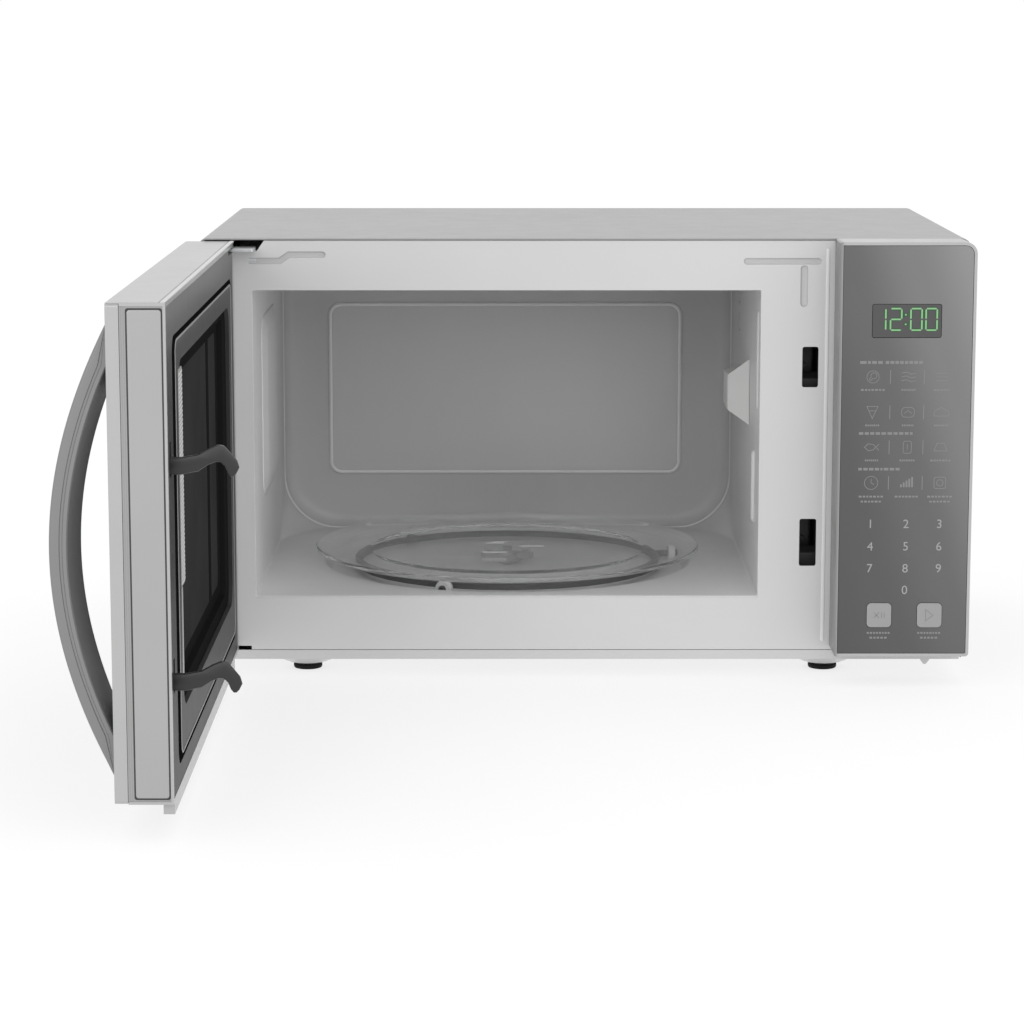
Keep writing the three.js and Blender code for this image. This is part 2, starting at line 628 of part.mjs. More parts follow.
// ---------------------------------------------------------------- control panel
function controlPanelFrame() {
  const { left, right, low, high, front, rim } = PANEL;
  const outer = prism(roundedRect([left, right], [low, high], [1.5, 2.5, 8, 1.5]), "y", [front, -0.4], 5);
  const inside = [[left + rim, right - rim], [low + rim, high - rim]];
  const hollow = prism(roundedRect(...inside, [0, 0.8, 6, 0]), "y", [front - 1, 0], 5);
  const ledge = [[left + rim - 0.5, right - rim + 0.5], [low + rim - 0.5, high - rim + 0.5]];
  const ledgeRing = cut(
    prism(roundedRect(...ledge, [0, 0, 6, 0]), "y", [-30.6, -29.2], 5),
    block([left + rim + 3, right - rim - 3], [-32, -28], [low + rim + 3, high - rim - 3]),
  );
  return join(cut(outer, hollow), ledgeRing);
}

function keyOutline(left, grow) {
  const size = KEY.size + grow;
  return roundedRect([left - grow, left + size], [KEY.low - grow, KEY.low + size], 3 + grow);
}

const DISPLAY = { x: [196.7, 244.5], z: [225.2, 248.6] };

function controlPanelFace() {
  const { left, right, low, high, rim } = PANEL;
  const edge = rim + GAP;
  const sheet = prism(
    roundedRect([left + edge, right - edge], [low + edge, high - edge], [0, 0.6, 5.7, 0]),
    "y",
    [-33.4, -30.9],
    5,
  );
  const displayHole = prism(roundedRect(DISPLAY.x, DISPLAY.z, 1.5), "y", [-35, -30], 3);
  const keyHoles = [KEY.stopLeft, KEY.startLeft].map((x) => prism(keyOutline(x, 0.3), "y", [-35, -30], 4));
  return cut(sheet, displayHole, ...keyHoles);
}

function displayWindow() {
  const inset = GAP;
  const outline = roundedRect(
    [DISPLAY.x[0] + inset, DISPLAY.x[1] - inset],
    [DISPLAY.z[0] + inset, DISPLAY.z[1] - inset],
    1.2,
  );
  return prism(outline, "y", [-33.3, -31.5], 3);
}

function panelKey(left) {
  const cap = prism(keyOutline(left, 0), "y", [-33.9, -29.5], 4);
  const span = (low, grow) => [low - grow, low + KEY.size + grow];
  const flange = block(span(left, 1.4), [-30.4, -28.8], span(KEY.low, 1.4));
  const stem = block(span(left, -7), [-29, -25], span(KEY.low, -7));
  return join(cap, flange, stem);
}

function displayModule() {
  const body = block([199, 242.4], [-29, -20], [222, 252]);
  const pins = steps(204, 6, 6.6).map((x) => block([x, x + 0.8], [-20.5, -18.9], [226, 226.8]));
  return join(body, ...pins);
}

function controlBoard() {
  const board = block([179, 262], [-18.6, -17], [12, 280]);
  const transformer = block([184, 214], [-17.5, -1.5], [196, 226]);
  const relays = [150, 172].map((z) => block([222, 244], [-17.5, -3], [z, z + 17]));
  const buzzer = rod("y", [204, 120], 8, [-17.5, -8], 16);
  const connectors = [60, 92].map((z) => block([232, 250], [-17.5, -7], [z, z + 22]));
  return join(board, transformer, ...relays, buzzer, ...connectors);
}

// ---------------------------------------------------------------- door, drawn shut
// The door's plan seen from above. Its inner hinge corner is rounded about the pins, to clear the plate.
function doorPlan(inset, front) {
  const reach = HINGE.reach - inset;
  const side = DOOR.left + inset;
  const corner = Math.PI - Math.acos((HINGE.x - side) / reach);
  const plan = new THREE.Shape();
  plan.moveTo(DOOR.right - inset, front);
  plan.lineTo(DOOR.right - inset, HINGE.y + reach);
  plan.lineTo(HINGE.x, HINGE.y + reach);
  plan.absarc(HINGE.x, HINGE.y, reach, Math.PI / 2, corner, false);
  plan.lineTo(side, front);
  return plan;
}

const hingePocket = () => block([DOOR.left - 2, -222], [-24, 1], [282.5, 286]);

function doorOuterFrame() {
  const { left, right, low, high, front, wall } = DOOR;
  const joint = -26.6;
  const face = prism(roundedRect([left, right], [low, high], 2.5), "y", [front, joint], 4);
  const pocket = block([left + wall, right - wall], [front + 2.4, joint + 1], [low + wall, high - wall]);
  const glassHole = prism(roundedRect([-258, 128], [13, 279], 6), "y", [front - 1, -30], 5);
  const ledge = cut(
    prism(roundedRect([-262, 132], [9, 283], 8), "y", [front + 2.3, -30], 4),
    prism(roundedRect([-252, 122], [19, 273], 4), "y", [front, -29], 4),
    prism(roundedRect([-258, 128], [13, 279], 6), "y", [front - 1, front + 2.4], 5),
  );
  return join(cut(face, pocket, glassHole), ledge);
}

function doorInnerFrame() {
  const { low, high, wall, right } = DOOR;
  const front = -26.3;
  const shell = cut(
    prism(doorPlan(0, front), "z", [low, high], 8),
    prism(doorPlan(wall, front - 2), "z", [low + wall, high - wall], 8),
    block([-250, right - wall], [-6, 1], [low + wall, high - wall]),
  );
  const bosses = [[5.2, 24], [262, 282.4]].map((span) => block([-265.6, -246.5], [-23.5, -4.5], span));
  const lip = block([-224, 168], [-7, DOOR.back], [-4, low + 0.5]);
  const pin = [HINGE.x, HINGE.y];
  const pinHoles = [[0, 18], [269.5, 286]].map((span) => rod("z", pin, HINGE.pin + GAP, span, 14));
  const groove = { depth: 0.9, width: 1.2 };
  const grooveRing = cut(
    block([right - groove.depth, right + 1], [-23.4, -3.6], [5.6, 286]),
    block([right - groove.depth - 1, right + 2], [-23.4 + groove.width, -3.6 - groove.width], [6.8, 284.8]),
  );
  return cut(join(shell, lip, ...bosses), ...pinHoles, hingePocket(), grooveRing);
}

function doorWindow() {
  return prism(roundedRect([-257.6, 127.6], [13.4, 278.6], 5.6), "y", [-33.9, -32.2], 5);
}

function doorChokeFrame() {
  const [left, right, low, high] = [-243, 148, 9, 282];
  return cut(
    block([left, right], [-13.4, -5], [low, high]),
    block([left + SHEET, right - SHEET], [-12.4, -4], [low + SHEET, high - SHEET]),
    prism(roundedRect([-212, 82], [50, 234], 12), "y", [-15, -11], 4),
  );
}

function doorScreen() {
  return prism(roundedRect([-220, 90], [42, 242], 8), "y", [-14.6, -13.8], 4);
}

function windowOutline(grow) {
  const { left, right, low, high } = WINDOW;
  return roundedRect([left - grow, right + grow], [low - grow, high + grow], 14 + grow);
}

function doorInnerCover() {
  const { right, low, high, wall } = DOOR;
  const edge = wall + GAP;
  const sheet = block([-249.6, right - edge], [-3.2, DOOR.back - 0.2], [low + edge, high - edge]);
  const recess = prism(windowOutline(2), "y", [-9, -3], 5);
  const opening = prism(windowOutline(0), "y", [-12, 2], 5);
  const keySlot = (lift) => block([153.4, 161.2], [-5, 2], [64.6 + lift, 84.4 + lift]);
  const keySlots = [0, HOOK.spacing].map(keySlot);
  const groove = cut(
    prism(roundedRect([-236, 127], [18, 265], 10), "y", [-1.5, 1], 4),
    prism(roundedRect([-234.4, 125.4], [19.6, 263.4], 8.6), "y", [-2, 2], 4),
  );
  return cut(join(sheet, recess), opening, ...keySlots, groove, hingePocket());
}

function doorInnerWindow() {
  return prism(windowOutline(1.4), "y", [-10.6, -9.3], 5);
}

// One hook, as an outline in (y, z) for the lower hook; the upper is the same, higher up.
const HOOK_OUTLINE = [
  [-14, 66.1],
  [12, 66.1],
  [23.6, 73.6],
  [29.2, 72.9],
  [32.4, 65],
  [35.6, 65],
  [38.8, 71.3],
  [30.6, 81.4],
  [28.4, 82.7],
  [24.5, 82.7],
  [12, 75.8],
  [-14, 75.8],
];

function doorKey() {
  const bar = block([HOOK.left, HOOK.right], [-19, -13], [56, 210]);
  const hooks = [0, HOOK.spacing].map((lift) =>
    prism(polygon(HOOK_OUTLINE), "x", [HOOK.left, HOOK.right]).translate(0, 0, lift),
  );
  return join(bar, ...hooks);
}

function keySpring() {
  return rod("z", [(HOOK.left + HOOK.right) / 2, -16], 2.8, [30, 55.6], 12);
}

// The handle's section at one height along the bow: near side thin, far side thick, outer edges eased.
function handleRing(share) {
  const { near, far, low, high, bow, nearThick, farThick } = HANDLE;
  const base = DOOR.front - GAP;
  const turn = (share - 0.5) * 2; // -1 at the low end, +1 at the high end
  const rise = Math.cos((turn * Math.PI) / 2) * 0.12 + (1 - turn * turn) * 0.88;
  const height = (low + high) / 2 + (turn * (high - low)) / 2;
  const steep = Math.hypot(1, (2 * bow * turn) / ((high - low) / 2)); // thickness seen across the slope
  const out = Math.min(base - bow * rise, base - 0.4);
  const back = (thickness) => Math.min(out + thickness * steep, base);
  return [
    [near, out + 1.4, height],
    [near - 1.4, out, height],
    [(near + far) / 2, out - 0.6, height],
    [far + 1.4, out, height],
    [far, out + 1.4, height],
    [far, back(farThick), height],
    [near, back(nearThick), height],
  ];
}

function doorHandle() {
  const stations = steps(0, 25, 1 / 24).map((t) => 0.5 - Math.cos(t * Math.PI) / 2);
  return loft(stations.map(handleRing));
}

// ---------------------------------------------------------------- put together
function addCabinet() {
  add("outer_casing", outerCasing(), MATERIAL.silverPaint);
  add("base_plate", basePlate(), MATERIAL.innerPaint);
  add("rear_panel", rearPanel(), MATERIAL.zinc);
  add("front_plate", frontPlate(), MATERIAL.innerPaint);
  add("oven_cavity", ovenCavity(), MATERIAL.innerPaint);
  add("waveguide_cover", waveguideCover(), MATERIAL.innerPaint);
  ["left", "right"].forEach((side, i) => {
    ["front", "rear"].forEach((end, j) => {
      add(`foot_${end}_${side}`, foot(FEET.x[i], FEET.y[j]), MATERIAL.blackRubber);
    });
  });
  screwPlaces().forEach(([x, z], i) => add(`case_screw_${i + 1}`, caseScrew(x, z), MATERIAL.zinc));
  add("upper_hinge_bracket", upperHingeBracket(), MATERIAL.zinc);
  add("lower_hinge_bracket", lowerHingeBracket(), MATERIAL.zinc);
  add("cord_gland", cordGland(), MATERIAL.darkPlastic);
}

function addWorks() {
  add("waveguide", waveguide(), MATERIAL.zinc);
  add("magnetron", magnetron(), MATERIAL.zinc);
  add("magnetron_filter_box", magnetronFilterBox(), MATERIAL.zinc);
  add("thermal_cutout", rod("z", [194, 153], 7, [202.4, 208], 16), MATERIAL.darkPlastic);
  add("transformer_core", transformerCore(), MATERIAL.laminations);
  add("transformer_primary", transformerWinding([8.5, 26.5]), MATERIAL.copper);
  add("transformer_secondary", transformerWinding([29.5, 47.5]), MATERIAL.copper);
  add("hv_capacitor", capacitor(), MATERIAL.zinc);
  add("hv_diode", highVoltageDiode(), MATERIAL.darkPlastic);
  add("fan_shroud", fanShroud(), MATERIAL.whitePlastic);
  add("fan_motor", fanMotor(), MATERIAL.laminations);
  add("fan_blade", fanBlade().translate(FAN.x, 0, FAN.z), MATERIAL.whitePlastic);
  add("oven_lamp", ovenLamp(), MATERIAL.whitePlastic);
  add("noise_filter_board", noiseFilterBoard(), MATERIAL.circuit);
  add("turntable_motor", turntableMotor(), MATERIAL.zinc);
  add("latch_board", latchBoard(), MATERIAL.whitePlastic);
  [["lower", 0], ["upper", HOOK.spacing]].forEach(([name, lift]) => {
    add(`${name}_interlock_switch`, interlockSwitch(lift), MATERIAL.darkPlastic);
    add(`${name}_switch_plunger`, switchPlunger(lift), MATERIAL.whitePlastic);
  });
}

function addTurntable() {
  add("drive_coupler", driveCoupler(), MATERIAL.whitePlastic);
  add("roller_ring", rollerRing(), MATERIAL.whitePlastic);
  rollerTurns.forEach((turn, i) => add(`roller_${i + 1}`, roller(turn), MATERIAL.whitePlastic));
  add("glass_tray", glassTray(), MATERIAL.glass);
}

function addControlPanel() {
  add("control_panel_frame", controlPanelFrame(), MATERIAL.silverPlastic);
  add("control_panel_face", controlPanelFace(), MATERIAL.darkGloss);
  add("display_window", displayWindow(), MATERIAL.smokedGlass);
  add("display_module", displayModule(), MATERIAL.darkPlastic);
  add("control_board", controlBoard(), MATERIAL.circuit);
  add("stop_key", panelKey(KEY.stopLeft), MATERIAL.keyGrey);
  add("start_key", panelKey(KEY.startLeft), MATERIAL.keyGrey);
}

function addDoor() {
  add("door_outer_frame", doorOuterFrame(), MATERIAL.silverPlastic, doorParts);
  add("door_inner_frame", doorInnerFrame(), MATERIAL.silverPlastic, doorParts);
  add("door_window", doorWindow(), MATERIAL.smokedGlass, doorParts);
  add("door_choke_frame", doorChokeFrame(), MATERIAL.zinc, doorParts);
  add("door_screen", doorScreen(), MATERIAL.zinc, doorParts);
  add("door_inner_cover", doorInnerCover(), MATERIAL.darkGloss, doorParts);
  add("door_inner_window", doorInnerWindow(), MATERIAL.smokedGlass, doorParts);
  add("door_key", doorKey(), MATERIAL.darkPlastic, doorParts);
  add("key_spring", keySpring(), MATERIAL.zinc, doorParts);
  add("door_handle", doorHandle(), MATERIAL.handleGrey, doorParts);
  oven.add(doorGroup);
}

addCabinet();
addWorks();
addTurntable();
addControlPanel();
addDoor();

// The frame's origin is the middle of the standing oven's box, at the feet.
const leftmost = HINGE.x + (DOOR.front - GAP - HANDLE.bow - 0.6 - HINGE.y);
const foremost = HINGE.y - (DOOR.right - HINGE.x);
oven.position.set(-(leftmost + CABINET.halfWidth) / 2, -(foremost + REAR) / 2, -CABINET.floor);

const part = new THREE.Group();
part.add(oven);

export default part;
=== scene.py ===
import json
import math

import bmesh
import bpy
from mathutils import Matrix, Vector


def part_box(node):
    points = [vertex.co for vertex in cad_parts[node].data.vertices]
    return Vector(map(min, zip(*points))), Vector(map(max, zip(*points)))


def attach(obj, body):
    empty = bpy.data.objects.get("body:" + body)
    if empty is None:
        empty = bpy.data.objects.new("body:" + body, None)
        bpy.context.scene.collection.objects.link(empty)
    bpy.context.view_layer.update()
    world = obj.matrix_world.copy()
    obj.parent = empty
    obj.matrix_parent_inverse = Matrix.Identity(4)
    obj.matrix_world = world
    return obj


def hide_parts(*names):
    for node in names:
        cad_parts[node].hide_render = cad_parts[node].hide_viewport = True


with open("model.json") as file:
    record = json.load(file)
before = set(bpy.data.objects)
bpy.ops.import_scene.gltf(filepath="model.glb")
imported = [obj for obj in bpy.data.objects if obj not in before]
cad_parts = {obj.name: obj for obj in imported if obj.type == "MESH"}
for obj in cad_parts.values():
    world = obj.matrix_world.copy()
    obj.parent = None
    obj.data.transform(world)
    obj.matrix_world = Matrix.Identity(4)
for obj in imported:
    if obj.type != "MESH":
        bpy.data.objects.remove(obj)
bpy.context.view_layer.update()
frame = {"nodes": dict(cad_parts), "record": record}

# ---------------------------------------------------------------- frame and dimensions (mm)
MM = 0.001
CASING_LOW, CASING_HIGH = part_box("outer_casing")
FOOT_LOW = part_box("foot_front_left")[0]
FOOT_DROP = 20.0  # from the front plate's lower edge down to the feet's undersides
ORIGIN = Vector(((CASING_LOW.x + CASING_HIGH.x) / 2, CASING_LOW.y, FOOT_LOW.z + FOOT_DROP * MM))

HINGE_X, HINGE_Y = -256.0, -14.0
LEFT, RIGHT, FLOOR, ROOF, BACK = -231.0, 123.1, 38.4, 254.9, 302.0
SKIN = 0.9
TABLE_X, TABLE_Y = -53.8, 154.4
WELL_RADIUS, WELL_DEPTH = 137.0, 7.5
TRAY_RADIUS, TRAY_LOW, TRAY_RIM = 144.2, 43.3, 49.5
WINDOW = (-218.0, 107.0, 44.0, 249.0)
PANEL_FACE_Y = -33.4
HOOK_SPACING = 124.6
ROLLER_ANGLES = (-111.0, 9.0, 129.0)
ROLLER_CIRCLE, ROLLER_Z = 126.0, 37.05


def at(x, y, z):
    """A point in cabinet millimetres, with the origin at the front plate's lower edge, in the row frame."""
    return ORIGIN + Vector((x, y, z)) * MM


def on_door(x, y, z):
    """A point of the door as drawn shut, carried to the open door."""
    return at(HINGE_X + (y - HINGE_Y), HINGE_Y - (x - HINGE_X), z)


def steps(low, high, count):
    return [low + (high - low) * i / (count - 1) for i in range(count)]


# ---------------------------------------------------------------- materials
def new_material(name):
    mat = bpy.data.materials.new(name)
    mat.use_nodes = True
    nodes, links = mat.node_tree.nodes, mat.node_tree.links
    shader = nodes["Principled BSDF"]
    place = nodes.new("ShaderNodeTexCoord")
    return mat, nodes, links, shader, place.outputs["Object"]


def noise(nodes, links, place, scale, detail=3.0, roughness=0.55):
    made = nodes.new("ShaderNodeTexNoise")
    made.inputs["Scale"].default_value = scale
    made.inputs["Detail"].default_value = detail
    made.inputs["Roughness"].default_value = roughness
    links.new(place, made.inputs["Vector"])
    return made.outputs["Fac"]


def spread(nodes, links, value, low, high, from_low=0.3, from_high=0.7):
    made = nodes.new("ShaderNodeMapRange")
    made.inputs["From Min"].default_value = from_low
    made.inputs["From Max"].default_value = from_high
    made.inputs["To Min"].default_value = low
    made.inputs["To Max"].default_value = high
    links.new(value, made.inputs["Value"])
    return made.outputs["Result"]


def ramp(nodes, links, value, stops):
    made = nodes.new("ShaderNodeValToRGB")
    made.color_ramp.interpolation = "EASE"
    points = made.color_ramp.elements
    points[0].position, points[0].color = stops[0][0], grey(stops[0][1])
    points[1].position, points[1].color = stops[-1][0], grey(stops[-1][1])
    for position, tone in stops[1:-1]:
        points.new(position).color = grey(tone)
    links.new(value, made.inputs["Fac"])
    return made.outputs["Color"]


def grey(tone):
    color = tone if isinstance(tone, (tuple, list)) else (tone, tone, tone)
    return (*color[:3], 1.0)


def bump(nodes, links, shader, height, strength, distance):
    made = nodes.new("ShaderNodeBump")
    made.inputs["Strength"].default_value = strength
    made.inputs["Distance"].default_value = distance
    links.new(height, made.inputs["Height"])
    links.new(made.outputs["Normal"], shader.inputs["Normal"])


def tinted(nodes, links, color, factor, dark, light):
    """color times a number that wanders between dark and light."""
    made = nodes.new("ShaderNodeVectorMath")
    made.operation = "SCALE"
    links.new(color, made.inputs[0])
    links.new(spread(nodes, links, factor, dark, light), made.inputs["Scale"])
    return made.outputs["Vector"]


def surface(name, tone, roughness, metallic=0.0, coat=0.0, mottle=0.04, grain=900.0, grain_depth=0.02,
            shine=0.5):
    """A moulded, painted or plated surface: slow tone changes, uneven gloss and a fine grain."""
    mat, nodes, links, shader, place = new_material(name)
    shader.inputs["Specular IOR Level"].default_value = shine
    shader.inputs["Metallic"].default_value = metallic
    shader.inputs["Coat Weight"].default_value = coat
    shader.inputs["Coat Roughness"].default_value = 0.08
    slow = noise(nodes, links, place, 9.0)
    low, high = [tuple(c * k for c in grey(tone)[:3]) for k in (1 - mottle, 1 + mottle)]
    color = ramp(nodes, links, slow, [(0.3, low), (0.7, high)])
    links.new(color, shader.inputs["Base Color"])
    uneven = noise(nodes, links, place, 60.0)
    swing = min(3 * mottle, 0.12)
    wanted = spread(nodes, links, uneven, roughness * (1 - swing), min(roughness * (1 + swing), 1.0))
    links.new(wanted, shader.inputs["Roughness"])
    bump(nodes, links, shader, noise(nodes, links, place, grain, 2.0), grain_depth, 0.0004)
    return mat


def along(nodes, links, place, start, end):
    """0 at start and 1 at end, measured along the straight line between two points of the object."""
    direction = end - start
    shifted = nodes.new("ShaderNodeVectorMath")
    shifted.operation = "SUBTRACT"
    shifted.inputs[1].default_value = start
    links.new(place, shifted.inputs[0])
    share = nodes.new("ShaderNodeVectorMath")
    share.operation = "DOT_PRODUCT"
    share.inputs[1].default_value = direction / direction.length_squared
    links.new(shifted.outputs["Vector"], share.inputs[0])
    return share.outputs["Value"]


def graded(name, start, end, stops, roughness, metallic=0.0, coat=0.0, grain=700.0, grain_depth=0.02,
           shine=0.5, mottle=0.04):
    """A surface whose tone changes along a line through the object."""
    mat, nodes, links, shader, place = new_material(name)
    shader.inputs["Specular IOR Level"].default_value = shine
    shader.inputs["Metallic"].default_value = metallic
    shader.inputs["Coat Weight"].default_value = coat
    shader.inputs["Coat Roughness"].default_value = 0.06
    color = ramp(nodes, links, along(nodes, links, place, start, end), stops)
    slow = noise(nodes, links, place, 7.0)
    links.new(tinted(nodes, links, color, slow, 1 - mottle, 1 + mottle), shader.inputs["Base Color"])
    uneven = noise(nodes, links, place, 50.0)
    wanted = spread(nodes, links, uneven, roughness - mottle, roughness + mottle)
    links.new(wanted, shader.inputs["Roughness"])
    bump(nodes, links, shader, noise(nodes, links, place, grain, 2.0), grain_depth, 0.0004)
    return mat


def clear_glass(name, tone, roughness, bend=1.12, coat=0.8, clear=1.0):
    """Thin clear glass: it bends little, keeps its bright edges, and lets lamps through."""
    mat, nodes, links, shader, place = new_material(name)
    shader.inputs["Transmission Weight"].default_value = clear
    shader.inputs["IOR"].default_value = bend
    shader.inputs["Coat Weight"].default_value = coat
    shader.inputs["Coat Roughness"].default_value = 0.04
    slow = noise(nodes, links, place, 14.0)
    low, high = [tuple(c * k for c in grey(tone)[:3]) for k in (0.985, 1.0)]
    links.new(ramp(nodes, links, slow, [(0.3, low), (0.7, high)]), shader.inputs["Base Color"])
    smear = noise(nodes, links, place, 30.0)
    links.new(spread(nodes, links, smear, roughness, roughness + 0.03), shader.inputs["Roughness"])
    through = nodes.new("ShaderNodeBsdfTransparent")
    through.inputs["Color"].default_value = (0.95, 0.96, 0.955, 1.0)
    choice = nodes.new("ShaderNodeMixShader")
    rays = nodes.new("ShaderNodeLightPath")
    links.new(rays.outputs["Is Shadow Ray"], choice.inputs["Fac"])
    links.new(shader.outputs["BSDF"], choice.inputs[1])
    links.new(through.outputs["BSDF"], choice.inputs[2])
    links.new(choice.outputs["Shader"], nodes["Material Output"].inputs["Surface"])
    return mat


def glowing(name, tone, strength):
    mat, nodes, links, shader, place = new_material(name)
    flicker = noise(nodes, links, place, 400.0)
    low, high = [tuple(c * k for c in tone) for k in (0.9, 1.0)]
    links.new(ramp(nodes, links, flicker, [(0.3, low), (0.7, high)]), shader.inputs["Emission Color"])
    shader.inputs["Emission Strength"].default_value = strength
    shader.inputs["Base Color"].default_value = grey(tuple(c * 0.1 for c in tone))
    shader.inputs["Roughness"].default_value = 0.4
    return mat


def brushed(name, tone, roughness, direction):
    """Plated or rolled metal with fine lines along a direction."""
    mat, nodes, links, shader, place = new_material(name)
    shader.inputs["Metallic"].default_value = 0.9
    stretch = nodes.new("ShaderNodeMapping")
    stretch.inputs["Scale"].default_value = [30.0 if d else 1200.0 for d in direction]
    links.new(place, stretch.inputs["Vector"])
    lines = noise(nodes, links, stretch.outputs["Vector"], 1.0, 4.0)
    low, high = [tuple(c * k for c in grey(tone)[:3]) for k in (0.9, 1.08)]
    links.new(ramp(nodes, links, lines, [(0.3, low), (0.7, high)]), shader.inputs["Base Color"])
    links.new(spread(nodes, links, lines, roughness * 0.85, roughness * 1.15), shader.inputs["Roughness"])
    bump(nodes, links, shader, lines, 0.05, 0.0002)
    return mat


def make_materials():
    """Every look by its name: those graded along a line, then the even ones."""
    made = {}

    def add(make, name, *values, **options):
        made[name] = make(name, *values, **options)

    # Cavity enamel: painted light near the mouth, lighter than the plate, and painted shade darkening towards
    # the back wall.
    add(
        graded, "cavity_enamel", at(0, -2, 140), at(0, 303, 140),
        [(0.0, 0.8), (0.3, 0.78), (0.8, 0.72), (0.955, 0.62), (0.985, 0.54), (1.0, 0.51)], 0.42, coat=0.1,
        shine=0.4,
    )
    # The control panel face is painted lighter towards its right and top: a painted highlight on its dark
    # gloss.
    add(
        graded, "panel_gloss", at(176, -33, 0), at(343, -33, 53),
        [(0.0, 0.06), (0.25, 0.07), (0.5, 0.1), (0.75, 0.17), (1.0, 0.25)], 0.2, coat=0.3, grain_depth=0.0,
    )
    # The door's inner cover is painted lighter along its top edge and a little at its bottom, darkest in the
    # middle: painted highlight and painted shade.
    add(
        graded, "cover_gloss", on_door(20, -0.7, 284), on_door(20, -0.7, 4),
        [(0.0, 0.17), (0.06, 0.12), (0.1, 0.07), (0.2, 0.045), (0.75, 0.04), (0.88, 0.055), (1.0, 0.06)], 0.4,
        shine=0.05, mottle=0.01, grain_depth=0.0,
    )
    # The control panel frame is painted darker on its side wall that faces the door: painted shade.
    add(
        graded, "frame_side", at(173.5, -20, 140), at(178.5, -20, 140),
        [(0.0, 0.2), (0.3, 0.24), (0.7, 0.4), (1.0, 0.43)], 0.34, metallic=0.35, coat=0.15,
    )
    add(surface, "casing_paint", 0.29, 0.36, metallic=0.3, coat=0.05, mottle=0.02)
    add(surface, "door_paint", 0.37, 0.36, metallic=0.3, coat=0.05, mottle=0.02)
    add(surface, "white_enamel", 0.58, 0.42, coat=0.1, mottle=0.012, shine=0.4)
    add(surface, "plate_enamel", 0.61, 0.45, coat=0.08, mottle=0.012, shine=0.35)
    # Painted shade inside the plate's channels: darker than the plate.
    add(surface, "channel_enamel", 0.52, 0.5, mottle=0.012, shine=0.3)
    # Painted highlight on the beads and rims: lighter and glossier than the enamel round them.
    add(surface, "bead_enamel", 0.74, 0.35, coat=0.2, mottle=0.015)
    # Painted light on the back wall's panel and painted shade in the well under the tray.
    add(surface, "back_enamel", 0.58, 0.42, coat=0.1, mottle=0.015, shine=0.4)
    add(surface, "well_enamel", 0.7, 0.5, mottle=0.03, shine=0.3)
    add(brushed, "zinc_steel", (0.62, 0.64, 0.65), 0.32, (1, 0, 0))
    add(surface, "mica", (0.78, 0.777, 0.77), 0.6, mottle=0.05, grain=300.0, grain_depth=0.08, shine=0.3)
    add(surface, "foot_rubber", 0.006, 0.7, mottle=0.15, grain=1500.0, grain_depth=0.08, shine=0.2)
    add(surface, "black_plastic", 0.028, 0.42, mottle=0.1, grain=1400.0, grain_depth=0.06)
    add(surface, "white_plastic", 0.72, 0.4, mottle=0.02)
    add(brushed, "lamination", (0.2, 0.21, 0.23), 0.45, (1, 1, 0))
    add(brushed, "copper", (0.62, 0.28, 0.13), 0.3, (1, 1, 0))
    add(brushed, "capacitor_can", (0.7, 0.71, 0.72), 0.4, (0, 0, 1))
    add(clear_glass, "lamp_glass", 0.93, 0.35)
    add(surface, "circuit", (0.03, 0.16, 0.07), 0.35, mottle=0.12, grain=500.0)
    add(clear_glass, "tray_glass", (0.975, 0.985, 0.98), 0.0, bend=1.03, coat=0.4, clear=0.93)
    add(surface, "silver_plastic", 0.42, 0.34, metallic=0.35, coat=0.15, mottle=0.02)
    add(surface, "display_tint", 0.055, 0.2, coat=0.3, grain_depth=0.0)
    add(surface, "key_plastic", 0.3, 0.36, mottle=0.03)
    add(surface, "smoked_glass", 0.003, 0.14, grain_depth=0.0, shine=0.1)
    add(surface, "door_steel", 0.05, 0.4, metallic=0.3)
    add(surface, "handle_grey", 0.22, 0.32, metallic=0.4, coat=0.1, mottle=0.03)
    add(surface, "handle_inner", 0.17, 0.4, mottle=0.05, shine=0.3)
    add(surface, "print_grey", 0.32, 0.5, grain_depth=0.0)
    add(surface, "print_dim", 0.22, 0.5, grain_depth=0.0)
    add(surface, "key_print", 0.2, 0.5, grain_depth=0.0)
    add(glowing, "digit_green", (0.3, 0.64, 0.3), 0.75)
    add(glowing, "digit_halo", (0.035, 0.13, 0.045), 0.5)
    add(surface, "screen_bright", 0.62, 0.4, mottle=0.05)
    add(surface, "strip_grey", 0.34, 0.4, mottle=0.05)
    # Painted shade behind the air slots.
    add(surface, "slot_dark", 0.012, 0.7, shine=0.1)
    # Painted shade in the groove on the door's free edge.
    add(surface, "groove_grey", 0.06, 0.6, shine=0.1)
    add(surface, "pane_dark", 0.036, 0.7, grain_depth=0.0, shine=0.0, mottle=0.1)
    add(surface, "ring_grey", 0.1, 0.5, mottle=0.05)
    # Painted shade: the drive coupler under the tray, darker than its white plastic.
    add(surface, "coupler_grey", 0.3, 0.35, mottle=0.05)
    add(surface, "edge_step", 0.3, 0.5, mottle=0.02)
    # Painted shade along the edge of the door cover's middle field.
    add(surface, "gasket_black", 0.014, 0.7, grain_depth=0.0, shine=0.0)
    add(surface, "seal_black", 0.006, 0.9, grain_depth=0.0, shine=0.0)
    # Painted glints on the middle of the tray.
    add(surface, "mark_bright", 0.8, 0.2, coat=0.5, mottle=0.05)
    add(surface, "rim_pale", 0.6, 0.35, metallic=0.1, mottle=0.02)
    # Painted highlight on the door cover's rim.
    add(surface, "rim_bright", 0.3, 0.35, metallic=0.2, mottle=0.05)
    add(surface, "hook_plastic", 0.016, 0.36, mottle=0.1, grain=1400.0, grain_depth=0.05)
    return made


MATERIALS = make_materials()

